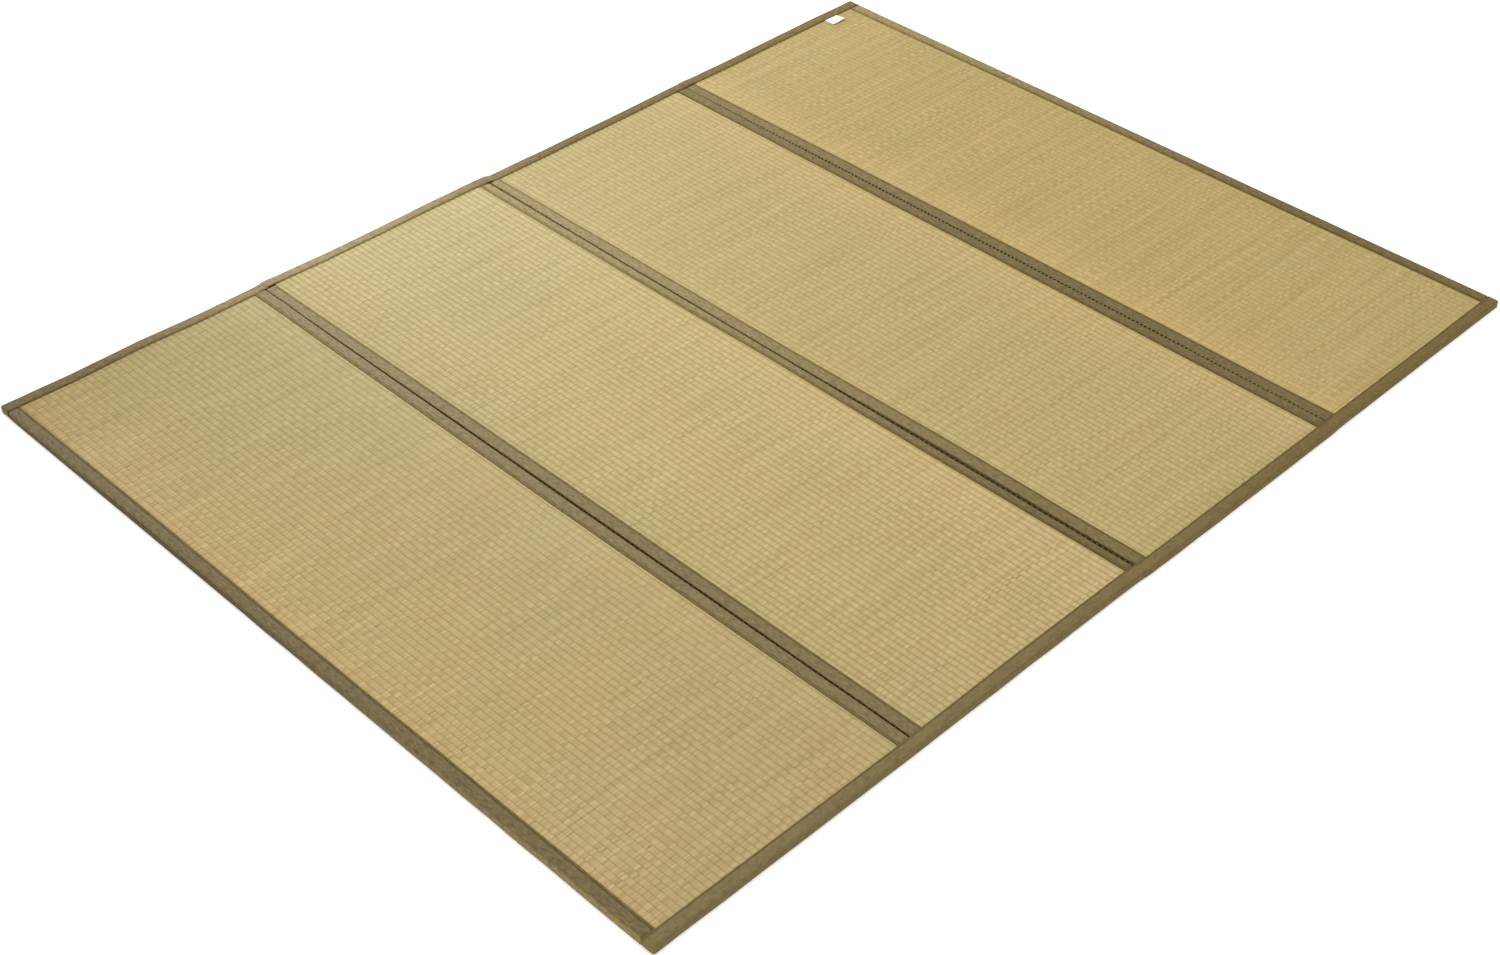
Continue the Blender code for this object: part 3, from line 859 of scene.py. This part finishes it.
@dataclass
class LongBinding:
    """A cloth binding round one long edge of a panel, with its seam."""

    name: str
    index: int
    side: Side
    layout: Layout
    cloth: bpy.types.Material
    thread: bpy.types.Material
    seam: float = 4.6
    swell: float = 0.3
    ease_off: float = 0.35
    shut: float = 9999.0

    def __post_init__(self) -> None:
        """Works out where the binding lies."""
        lay = self.layout
        panel = lay.panels[self.index]
        is_left = self.side is Side.LEFT_EDGE
        self.outer = self.index == (0 if is_left else len(lay.panels) - 1)
        edge = lay.edges[self.index if is_left else self.index + 1]
        self.reach = 0.0 if self.outer else lay.fold_gap / 2
        self.face = edge + self.side.value * self.reach
        self.width = (panel.left_binding if is_left else panel.right_binding) - self.reach
        self.fold = Fold(lay.bend if self.outer else lay.fold_bend, self.seam, lay.cloth, swell=self.swell)
        self.seed = 100 + 2 * self.index + (0 if is_left else 1)

    def widths(self, y: np.ndarray) -> np.ndarray:
        """The binding's width at y."""
        width = self.layout.panels[self.index].binding(self.side is Side.LEFT_EDGE, y) - self.reach
        return width + 0.25 * Ripple(self.seed, 1e9, 300.0, 5).at(np.zeros_like(y), y)

    def puffs(self, y: np.ndarray) -> np.ndarray:
        """The swell's factor at y."""
        return 1.0 + 0.45 * Ripple(self.seed + 40, 1e9, 75.0, 7).at(np.zeros_like(y), y)

    def stations(self) -> np.ndarray:
        """y of the stations along the binding."""
        lay = self.layout
        at = np.array([self.face])
        near = lay.near_y(at)[0]
        far = lay.far_y(at)[0]
        near_width = lay.near_cover(at)[0]
        far_width = lay.far_cover(at)[0]
        steps = np.array([lay.tail, 16.0, 20.0])
        dive = np.array([0.3, 1.0, 1.8, 2.7, 3.6, 6.0])
        return np.concatenate([near + steps, near + near_width + dive,
                               np.linspace(near + near_width + 10.0, far - far_width - 10.0, 196),
                               far - far_width - dive[::-1], far - steps[::-1]])

    def build(self) -> bpy.types.Object:
        """The binding's piece."""
        lay = self.layout
        y = self.stations()
        at = np.full_like(y, self.face)
        v_near = y - lay.near_y(at)
        v_far = lay.far_y(at) - y
        dive = np.maximum(lay.dived(v_near, lay.near_cover(at)), lay.dived(v_far, lay.far_cover(at)))
        top = lay.long_top - (lay.long_top - lay.rush_top) * dive
        bottom = lay.under * dive
        pull = lay.under * dive if self.outer else self.ease_off * (1.0 - 0.6 * ease(y, 560.0, 740.0))
        shut = hill(y, self.shut, 16.0)
        pull = pull * (1.0 - shut) - 0.15 * shut
        pull = pull + 0.16 * (1.0 + Ripple(self.seed + 80, 1e9, 160.0, 6).at(np.zeros_like(y), y))
        outer, inner, way = self.fold.rings(self.widths(y), top, bottom, pull, np.zeros_like(y), dive, self.puffs(y))
        grids = []
        for ring in (outer, inner):
            x = self.face + self.side.value * ring[..., 0]
            grids.append(np.stack([x, np.broadcast_to(y[:, None], x.shape), ring[..., 1]], axis=-1))
        quads = closed_between(grids[0], grids[1], False)
        points = np.concatenate([grid.reshape(-1, 3) for grid in grids])
        uv = np.stack([way, np.broadcast_to(y[:, None], way.shape)], axis=-1).reshape(-1, 2)
        return make_piece(self.name, points, quads, np.concatenate([uv, uv]), self.cloth, 60.0)

    def stitches(self) -> bpy.types.Object:
        """The row of stitches along the seam."""
        lay = self.layout
        at = np.array([self.face])
        y = np.arange((lay.near_y(at) + lay.near_cover(at))[0] + 5.5, (lay.far_y(at) - lay.far_cover(at))[0] - 5.0,
                      STITCH.pitch)
        width = self.widths(y)
        v = width - self.seam
        height = lay.long_top + self.fold.upper_shift(width, v, np.zeros_like(y), self.puffs(y))
        middles = np.stack([self.face + self.side.value * v, y, height + STITCH.proud], axis=-1)
        return STITCH.row(f"seam_{self.name}", middles, np.array([0.0, 1.0, 0.0]), self.thread)

    def dress(self) -> bpy.types.Object:
        piece = self.build()
        seam = self.stitches()
        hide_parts(f"binding_{self.name.removesuffix('_binding')}")
        return piece


@dataclass(frozen=True)
class Stitch:
    """A machine stitch: a four-sided spindle along the seam, thin at both ends."""

    pitch: float = 5.0
    length: float = 3.9
    width: float = 0.8
    height: float = 0.5
    proud: float = 0.12

    def row(self, name: str, middles: np.ndarray, way: np.ndarray, finish: bpy.types.Material) -> bpy.types.Object:
        """Many stitches as one piece: rings at shares of the length, each a diamond of four points.

        Args:
            name: The piece's name.
            middles: Stitches x 3, their middles.
            way: The direction that they run in.
            finish: The thread's material.

        Returns:
            The piece.
        """
        along = np.array([-0.5, -0.3, 0.3, 0.5]) * self.length
        thick = np.array([0.35, 1.0, 1.0, 0.35])
        sink = np.array([-0.25, 0.0, 0.0, -0.25])
        across = np.cross(way, [0.0, 0.0, 1.0])
        diamond = np.array([[1.0, 0.0], [0.0, 1.0], [-1.0, 0.0], [0.0, -1.0]])
        rings = (along[:, None, None] * way
                 + (thick[:, None] * diamond[:, 0])[..., None] * across * self.width / 2
                 + (thick[:, None] * diamond[:, 1] * self.height / 2 + sink[:, None])[..., None]
                 * np.array([0.0, 0.0, 1.0]))
        template = rings.reshape(-1, 3)
        number = np.arange(16).reshape(4, 4)
        beside = np.roll(number, -1, axis=1)
        sides = np.stack([number[:-1], beside[:-1], beside[1:], number[1:]], axis=-1).reshape(-1, 4)
        faces = np.concatenate([sides, [number[0, ::-1]], [number[-1]]])
        points = (middles[:, None, :] + template).reshape(-1, 3)
        quads = (faces + (np.arange(len(middles)) * 16)[:, None, None]).reshape(-1, 4)
        return make_piece(name, points, quads, None, finish)


STITCH = Stitch()


@dataclass(frozen=True)
class Crease:
    """A sharp dent across an end binding, at x where it meets the inner edge."""

    x: float
    depth: float
    spread: float
    slant: float


@dataclass(frozen=True)
class Rise:
    """A soft rise of an end binding round x."""

    x: float
    lift: float
    spread: float


@dataclass
class EndBinding:
    """The cloth binding across one end of all the panels, closed round both corners.

    Round a corner the section is pulled inwards by the corner radius times 1 minus the sine of the
    turn, and drawn together in height in step with it.
    """

    end: End
    layout: Layout
    cloth: bpy.types.Material
    thread: bpy.types.Material
    rises: tuple[Rise, ...] = ()
    creases: tuple[Crease, ...] = ()
    seam: float = 3.2
    swell: float = 0.28

    def __post_init__(self) -> None:
        """Works out the sizes that follow."""
        lay = self.layout
        self.width = lay.near_width if self.end is End.NEAR else lay.far_width
        self.fold = Fold(lay.bend, self.seam, lay.cloth, swell=self.swell)
        self.seed = 300 if self.end is End.NEAR else 320

    def edge(self, x: np.ndarray) -> np.ndarray:
        """y of the end at x."""
        return self.layout.near_y(x) if self.end is End.NEAR else self.layout.far_y(x)

    def widths(self, x: np.ndarray) -> np.ndarray:
        """The binding's width at x."""
        cover = self.layout.near_cover(x) if self.end is End.NEAR else self.layout.far_cover(x)
        return cover + 0.2 * Ripple(self.seed, 380.0, 1e9, 6).at(x, np.zeros_like(x))

    def puffs(self, x: np.ndarray) -> np.ndarray:
        """The swell's factor at x."""
        return 1.0 + 0.5 * Ripple(self.seed + 1, 70.0, 1e9, 7).at(x, np.zeros_like(x))

    def lift(self, x: np.ndarray, v: np.ndarray) -> np.ndarray:
        """How far the upper face stands off at x, v in from the end, from the rises and creases."""
        total = np.zeros(np.broadcast(x, v).shape)
        for rise in self.rises:
            total = total + rise.lift * hill(x, rise.x, rise.spread)
        for crease in self.creases:
            total = total - crease.depth * hill(x + crease.slant * (self.width - v), crease.x, crease.spread)
        return total

    def build(self) -> bpy.types.Object:
        """The binding's piece."""
        lay = self.layout
        half = -lay.edges[0]
        folds = lay.edges[1:-1, None] + np.arange(-24.0, 24.1, 2.0)
        plain = np.arange(-half + lay.corner + 3.0, half - lay.corner - 2.9, 5.4)
        plain = plain[np.abs(plain[:, None] - lay.edges[1:-1]).min(axis=1) > 25.0]
        inside = np.sort(np.concatenate([plain, folds.ravel()]))
        turns = np.radians([0.0, 12.0, 25.0, 38.0, 52.0, 66.0, 80.0])
        place = np.concatenate([np.full(7, -half), inside, np.full(7, half)])
        turn = np.concatenate([turns, np.full(len(inside), math.pi / 2), turns[::-1]])
        in_corner = np.concatenate([np.ones(7), np.zeros(len(inside)), np.ones(7)])
        pull = lay.corner * (1.0 - np.sin(turn))
        drop = lay.bend * (1.0 - np.sin(turn))
        round_x = in_corner * lay.corner * (1.0 - np.cos(turn))
        ends = 1.0 - ease(half - np.abs(place), 0.0, 14.0)
        pull = pull + 0.2 * (1.0 + Ripple(self.seed + 2, 150.0, 1e9, 6).at(place, np.zeros_like(place))) * (1.0 - ends)
        outer, inner, way = self.fold.rings(self.widths(place), lay.end_top - drop, drop, pull,
                                            np.minimum(drop, lay.bend - lay.cloth - 0.3), ends, self.puffs(place))
        grids = []
        for depth, ring in ((0.0, outer), (lay.cloth, inner)):
            x = place - np.copysign(in_corner * depth + round_x, place)
            y = self.edge(x)[:, None] + self.end.value * ring[..., 0]
            top_share = ease(ring[..., 1], 4.0, 12.0)
            z = ring[..., 1] + self.lift(x[:, None], ring[..., 0]) * top_share * (1.0 - ends[:, None])
            grids.append(np.stack([np.broadcast_to(x[:, None], y.shape), y, z], axis=-1))
        quads = closed_between(grids[0], grids[1], True)
        points = np.concatenate([grid.reshape(-1, 3) for grid in grids])
        uv = np.stack([way, np.broadcast_to(place[:, None], way.shape)], axis=-1).reshape(-1, 2)
        return make_piece(f"end_{self.end.name.lower()}_binding", points, quads, np.concatenate([uv, uv]),
                          self.cloth, 60.0)

    def stitches(self) -> bpy.types.Object:
        """The row of stitches along the seam."""
        lay = self.layout
        half = -lay.edges[0]
        x = np.arange(-half + 9.0, half - 8.9, STITCH.pitch)
        width = self.widths(x)
        v = width - self.seam
        height = (lay.end_top + self.fold.upper_shift(width, v, np.zeros_like(x), self.puffs(x)) + self.lift(x, v))
        middles = np.stack([x, self.edge(x) + self.end.value * v, height + STITCH.proud], axis=-1)
        return STITCH.row(f"seam_end_{self.end.name.lower()}", middles, np.array([1.0, 0.0, 0.0]), self.thread)

    def dress(self) -> bpy.types.Object:
        piece = self.build()
        seam = self.stitches()
        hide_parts(f"binding_end_{self.end.name.lower()}")
        return piece


@dataclass(frozen=True)
class Joining:
    """Ladder stitches that join two panels in a fold.

    Each is a pad of thread across the gap: its height dips by a parabola between the two bindings
    and its face has three scallops along the fold, as three turns of thread. They stand aside to
    the left of the fold, as the gap between the bindings does, less so at the far end.
    """

    fold: int
    aside: float
    pitch: float
    width: float
    dip: float
    half: float
    slant: float
    start: float
    closing: float = 0.0
    closed_from: float = 2000.0

    def dress(self, layout: Layout, thread: bpy.types.Material) -> bpy.types.Object:
        """Builds the stitches of one fold.

        Args:
            layout: The mat's sizes.
            thread: The thread's material.

        Returns:
            The piece.
        """
        x0 = layout.edges[self.fold]
        at = np.array([x0])
        y = np.arange((layout.near_y(at) + layout.near_cover(at))[0] + self.start,
                      (layout.far_y(at) - layout.far_cover(at))[0] - 3.0, self.pitch)
        closed = ease(y, self.closed_from, self.closed_from + 60.0) * self.closing
        t = np.linspace(-1.0, 1.0, 5)
        s = np.linspace(-1.0, 1.0, 5)
        scallop = np.array([0.0, 0.9, 0.75, 0.9, 0.0])
        width = self.width + (self.pitch - 0.6 - self.width) * closed
        dip = self.dip * (1.0 - 0.75 * closed)
        grids = []
        for low in (False, True):
            rise = -0.45 * np.ones(5) if low else 0.5 * scallop
            middle = x0 - self.aside * (1.0 - 0.6 * ease(y, 560.0, 740.0))
            x = middle[:, None, None] + self.half * t[None, :, None] + 0.0 * s
            yy = (y[:, None, None] + (width / 2)[:, None, None] * s
                  + self.slant * self.half * t[None, :, None])
            z = (layout.long_top - dip[:, None, None] * (1.0 - t[None, :, None] ** 2) - 0.3
                 + rise * (1.0 - 0.5 * t[None, :, None] ** 2))
            grids.append(np.stack([x, yy, z], axis=-1))
        sample = closed_between(grids[0][0], grids[1][0], False)
        points = np.concatenate([grids[0].reshape(len(y), 25, 3), grids[1].reshape(len(y), 25, 3)], axis=1)
        quads = (sample + (np.arange(len(y)) * 50)[:, None, None]).reshape(-1, 4)
        piece = make_piece(f"joining_fold_{self.fold}", points.reshape(-1, 3), quads, None, thread)
        return piece


@dataclass(frozen=True)
class Label:
    """The blank label: a small sheet under the far binding, its free right corner curling up.

    Its height is the rush's plus the lift times the square of the share of the way to that corner,
    with a low wave across it.
    """

    middle: float = 960.0
    width: float = 36.0
    length: float = 28.5
    thickness: float = 0.7
    lift: float = 2.6
    left_share: float = 0.35

    def ends(self, layout: Layout) -> tuple[float, float]:
        """y of the label's end beside the binding, and of its free end."""
        at = np.array([self.middle])
        far = layout.far_y(at)[0]
        return far - layout.far_cover(at)[0] - layout.gap, far - layout.far_width - layout.gap - self.length

    def dress(self, layout: Layout, finish: bpy.types.Material) -> bpy.types.Object:
        """Builds the label.

        Args:
            layout: The mat's sizes.
            finish: Its material.

        Returns:
            The piece.
        """
        across, down = np.meshgrid(np.linspace(0.0, 1.0, 25), np.linspace(0.0, 1.0, 21))
        x = self.middle + (across - 0.5) * self.width
        start, end = self.ends(layout)
        y = start + down * (end - start)
        free = down * (self.left_share + (1.0 - self.left_share) * across)
        low = (layout.rush_top + layout.gap + self.lift * free ** 2
               + 0.15 * np.sin(9.0 * across) * np.sin(math.pi * down))
        lower = np.stack([x, y, low], axis=-1)
        upper = np.stack([x, y, low + self.thickness], axis=-1)
        points = np.concatenate([upper.reshape(-1, 3), lower.reshape(-1, 3)])
        piece = make_piece("blank_white_label", points, closed_between(upper, lower, False), None, finish, 60.0)
        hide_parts("blank_label")
        return piece


@dataclass(frozen=True)
class Studio:
    """The floor, the soft lights and the camera."""

    camera_at: tuple[float, float, float] = (-2280.6, -2176.1, 2314.8)
    right: tuple[float, float, float] = (0.70676, -0.70737, 0.01065)
    down: tuple[float, float, float] = (-0.44301, -0.45427, -0.77290)
    forward: tuple[float, float, float] = (0.55157, 0.54154, -0.63444)
    focal_pixels: float = 2229.8
    picture_width: float = 1500.0
    sensor: float = 36.0
    floor_half: float = 15.0

    def floor(self) -> None:
        """A wide pale floor."""
        half = self.floor_half
        mesh = bpy.data.meshes.new("floor")
        mesh.from_pydata([(-half, -half, 0.0), (half, -half, 0.0), (half, half, 0.0), (-half, half, 0.0)],
                         [], [(0, 1, 2, 3)])
        floor = bpy.data.objects.new("floor", mesh)
        bpy.context.collection.objects.link(floor)
        g = Graph("pale_floor")
        x, y, _ = g.place()
        cloud = g.noise(g.vector(g.math("DIVIDE", x, 900.0), g.math("DIVIDE", y, 900.0)), 2.0)
        colour = g.times((0.95, 0.95, 0.95, 1.0), g.weighted(1.0, (0.004, cloud)))
        mesh.materials.append(g.finish(colour, 0.9, g.bump(g.weighted(0.5, (0.1, cloud)), 0.1, 0.1),
                                       Specular_IOR_Level=0.1, Emission_Color=(1.0, 1.0, 1.0, 1.0),
                                       Emission_Strength=0.2))

    def softbox(self, name: str, place: tuple[float, float, float], size: float, power: float,
                colour: tuple[float, float, float] = (1.0, 1.0, 1.0)) -> None:
        """A square area light that faces the mat's middle.

        Args:
            name: Its name.
            place: Its middle, in metres.
            size: Its side, in metres.
            power: Its power, in watts.
            colour: Its colour.
        """
        light = bpy.data.lights.new(name, "AREA")
        light.shape = "SQUARE"
        light.size = size
        light.energy = power
        light.color = colour
        lamp = bpy.data.objects.new(name, light)
        lamp.location = place
        lamp.rotation_euler = Vector(place).to_track_quat("Z", "Y").to_euler()
        bpy.context.collection.objects.link(lamp)

    def lights(self) -> None:
        """The softboxes and the pale surroundings."""
        self.softbox("top_softbox", (0.0, 0.5, 5.0), 3.0, 85.0)
        self.softbox("back_softbox", (1.4, 3.2, 1.7), 0.9, 40.0)
        world = bpy.data.worlds.new("studio")
        world.use_nodes = True
        world.node_tree.nodes["Background"].inputs["Color"].default_value = (1.0, 0.955, 0.875, 1.0)
        world.node_tree.nodes["Background"].inputs["Strength"].default_value = 1.0
        bpy.context.scene.world = world
        bpy.context.scene.view_settings.view_transform = "Standard"

    def camera(self) -> None:
        """The camera, from its place, its three axes and its focal length in the picture's pixels."""
        data = bpy.data.cameras.new("camera")
        data.sensor_fit = "HORIZONTAL"
        data.sensor_width = self.sensor
        data.lens = self.focal_pixels / self.picture_width * self.sensor
        data.clip_end = 100.0
        camera = bpy.data.objects.new("camera", data)
        turn = Matrix((self.right, [-a for a in self.down], [-a for a in self.forward])).transposed()
        camera.matrix_world = Matrix.Translation(Vector(self.camera_at) * MM) @ turn.to_4x4()
        bpy.context.collection.objects.link(camera)
        bpy.context.scene.camera = camera

    def dress(self) -> None:
        """Sets up the whole studio."""
        self.floor()
        self.lights()
        self.camera()


def rush_finishes(layout: Layout) -> list[bpy.types.Material]:
    """Each panel's rush: greener to the far left, more straw-coloured along the bindings."""
    edges = layout.edges
    rows = (
        ((0.367, 0.268, 0.106, 1.0), (0.312, 0.259, 0.100, 1.0), 0.45, Glow(-0.01, 0.4, 60.0),
         Glow(0.05, 0.0, 120.0), 0.4, (-0.17, 0.04), (1.1, 1.09), 0.79, 3.6, 300.0, 2.1, 1.3),
        ((0.415, 0.310, 0.126, 1.0), (0.355, 0.298, 0.119, 1.0), 0.45, Glow(-0.06, -0.1, 160.0),
         Glow(0.07, 0.2, 200.0), 0.3, (0.1, 0.03), (1.11, 1.05), 0.74, 4.0, 300.0, 4.0),
        ((0.392, 0.296, 0.118, 1.0), (0.338, 0.287, 0.111, 1.0), 0.4, Glow(0.05, 0.0, 60.0),
         Glow(0.04, 0.4, 160.0), 0.0, (0.0, 0.0), (1.09, 1.03), 0.78, 3.6, 450.0, 3.6),
        ((0.368, 0.273, 0.100, 1.0), (0.314, 0.263, 0.095, 1.0), 0.3, Glow(0.07, 0.3, 120.0),
         Glow(-0.02, 0.0, 200.0), 0.0, (0.03, 0.03), (1.05, 1.02), 0.88, 3.2, 450.0, 3.2),
    )
    return [RushFinish(panel, (edges[i], edges[i + 1]), 3.0 + 11.0 * i, *row).make(f"rush_{i + 1}")
            for i, (panel, row) in enumerate(zip(layout.panels, rows))]


def main() -> None:
    """Builds every piece in order and reports it."""
    logging.basicConfig(level=logging.INFO, format="%(name)s: %(message)s")
    lay = LAYOUT
    studio = Studio()
    studio.dress()
    LOG.info("studio ready")

    taupe = ((0.172, 0.134, 0.064, 1.0), (0.160, 0.117, 0.035, 1.0))
    # Both end bindings' cloth carries painted light: brighter or darker from one end to the other and on the face that
    # stands on edge; the far one also a painted sheen round x = -340.
    olive = ClothFinish((0.152, 0.116, 0.050, 1.0), (0.140, 0.103, 0.034, 1.0), 1.07, 0.93, -900.0, lay.near_width - 4.7,
                        0.9, 0.9, near_blue=1.13, far_blue=0.77, hem_line=-2.2, blotch=0.12, fleck=0.2,
                        seed=20.0).make("olive_cloth")
    end_taupe = ClothFinish(*taupe, 0.78, 0.94, -900.0, lay.far_width - 4.7, 0.75, 0.75, -340.0, 600.0, 0.86,
                            0.35, 1.05, 0.8, hem_line=-2.2, blotch=0.13, seed=1.0).make("taupe_cloth")
    seam_thread = ThreadFinish((0.09, 0.066, 0.03, 1.0)).make("seam_thread")
    join_thread = ThreadFinish((0.10, 0.072, 0.032, 1.0)).make("joining_thread")
    # A lighter copy of the joining thread for fold 3: painted light, so that its stitches show in the gap's shade.
    painted_light_thread = ThreadFinish((0.18, 0.135, 0.066, 1.0)).make("painted_light_joining_thread")

    for index, finish in enumerate(rush_finishes(lay)):
        piece = RushPanel(index, lay, finish).dress()
        LOG.info("%s: %d faces", piece.name, len(piece.data.polygons))

    # Each row: name, blue factor, painted light near and far along the binding, where that starts, painted light and
    # shade on its side face near and far, how far its edge eases off, and painted shade in the slit at its far end.
    bindings = (
        ("outer_left", 1.1, 0.81, 0.86, -500.0, 1.75, 0.5, 0.0, 1.0),
        ("fold_1_left", 1.14, 1.03, 1.40, -500.0, 0.3, 0.3, 2.6, 0.55),
        ("fold_1_right", 1.12, 0.97, 1.43, -500.0, 0.3, 0.3, -1.5, 0.1),
        ("fold_2_left", 0.97, 0.73, 1.72, -900.0, 0.3, 0.3, 3.2, 0.8),
        ("fold_2_right", 1.02, 0.88, 1.66, -900.0, 0.3, 0.3, -2.0, 0.35),
        ("fold_3_left", 0.92, 0.79, 1.01, -500.0, 0.3, 0.3, 3.1, 0.6),
        ("fold_3_right", 0.94, 0.8, 1.15, -500.0, 0.3, 0.3, -2.3, 0.6),
        ("outer_right", 0.96, 0.77, 1.55, -500.0, 0.8, 0.8, 0.0, 1.0),
    )
    for i, (name, blue, near_painted_light, far_painted_light, fade_from, side_painted_light_near, side_painted_light_far, ease_off, slit) in enumerate(bindings):
        panel = lay.panels[i // 2]
        at = lay.edges[(i + 1) // 2:(i + 1) // 2 + 1]
        width = panel.right_binding if i % 2 else panel.left_binding
        side_at = width - 6.2 if i in (0, 7) else width - 6.0 - ease_off
        colours = [(red, green, light * blue, 1.0) for red, green, light, _ in taupe]
        blues = (1.0, 1.0) if i in (5, 6) else (0.93, 1.1)
        cloth = ClothFinish(*colours, near_painted_light, far_painted_light, fade_from, side_at, side_painted_light_near, side_painted_light_far,
                            near_blue=blues[0], far_blue=blues[1],
                            slit_at=float((lay.far_y(at) - lay.far_cover(at))[0]), slit_shade=slit,
                            hem_line=-9.0 if i == 0 else -3.4, hem_dark=0.97 if i == 0 else 0.88,
                            seam_dark=0.5 if i == 0 else 0.8, seed=2.0 + i)
        piece = LongBinding(f"{name}_binding", i // 2, list(Side)[i % 2], lay, cloth.make(f"taupe_{name}"),
                            seam_thread, ease_off=ease_off, shut=712.0 if i in (1, 2) else 9999.0).dress()
        LOG.info("%s: %d faces", piece.name, len(piece.data.polygons))

    fold_1, fold_2, fold_3 = lay.edges[1:-1]
    rises = (Rise(fold_1 + 12.0, 1.2, 15.0), Rise(fold_2 + 2.0, 1.5, 9.0), Rise(fold_3 + 10.0, 1.3, 16.0))
    creases = (
        Crease(fold_1 + 2.0, 1.3, 1.6, 0.1),
        Crease(fold_2 + 8.0, 1.0, 1.5, -0.15),
        Crease(fold_2 + 14.0, 0.8, 1.5, -0.15),
        Crease(fold_3 - 2.0, 1.4, 1.8, 0.2),
    )
    for end, cloth, bumps, dents in ((End.NEAR, olive, (), ()), (End.FAR, end_taupe, rises, creases)):
        piece = EndBinding(end, lay, cloth, seam_thread, bumps, dents).dress()
        LOG.info("%s: %d faces", piece.name, len(piece.data.polygons))

    joinings = (
        Joining(1, 2.05, 11.0, 3.0, 4.5, 1.3, 0.1, 6.0),
        Joining(2, 2.6, 11.0, 4.0, 2.4, 1.7, 0.1, 6.0),
        Joining(3, 2.7, 9.0, 3.5, 0.6, 1.7, 0.25, 14.0, 0.9, 660.0),
    )
    for joining in joinings:
        piece = joining.dress(lay, painted_light_thread if joining.fold == 3 else join_thread)
        LOG.info("%s: %d faces", piece.name, len(piece.data.polygons))

    piece = Label().dress(lay, LabelFinish(Label().ends(lay)[1]).make("label_cloth"))
    LOG.info("%s: %d faces", piece.name, len(piece.data.polygons))


if __name__ == "__main__":
    main()
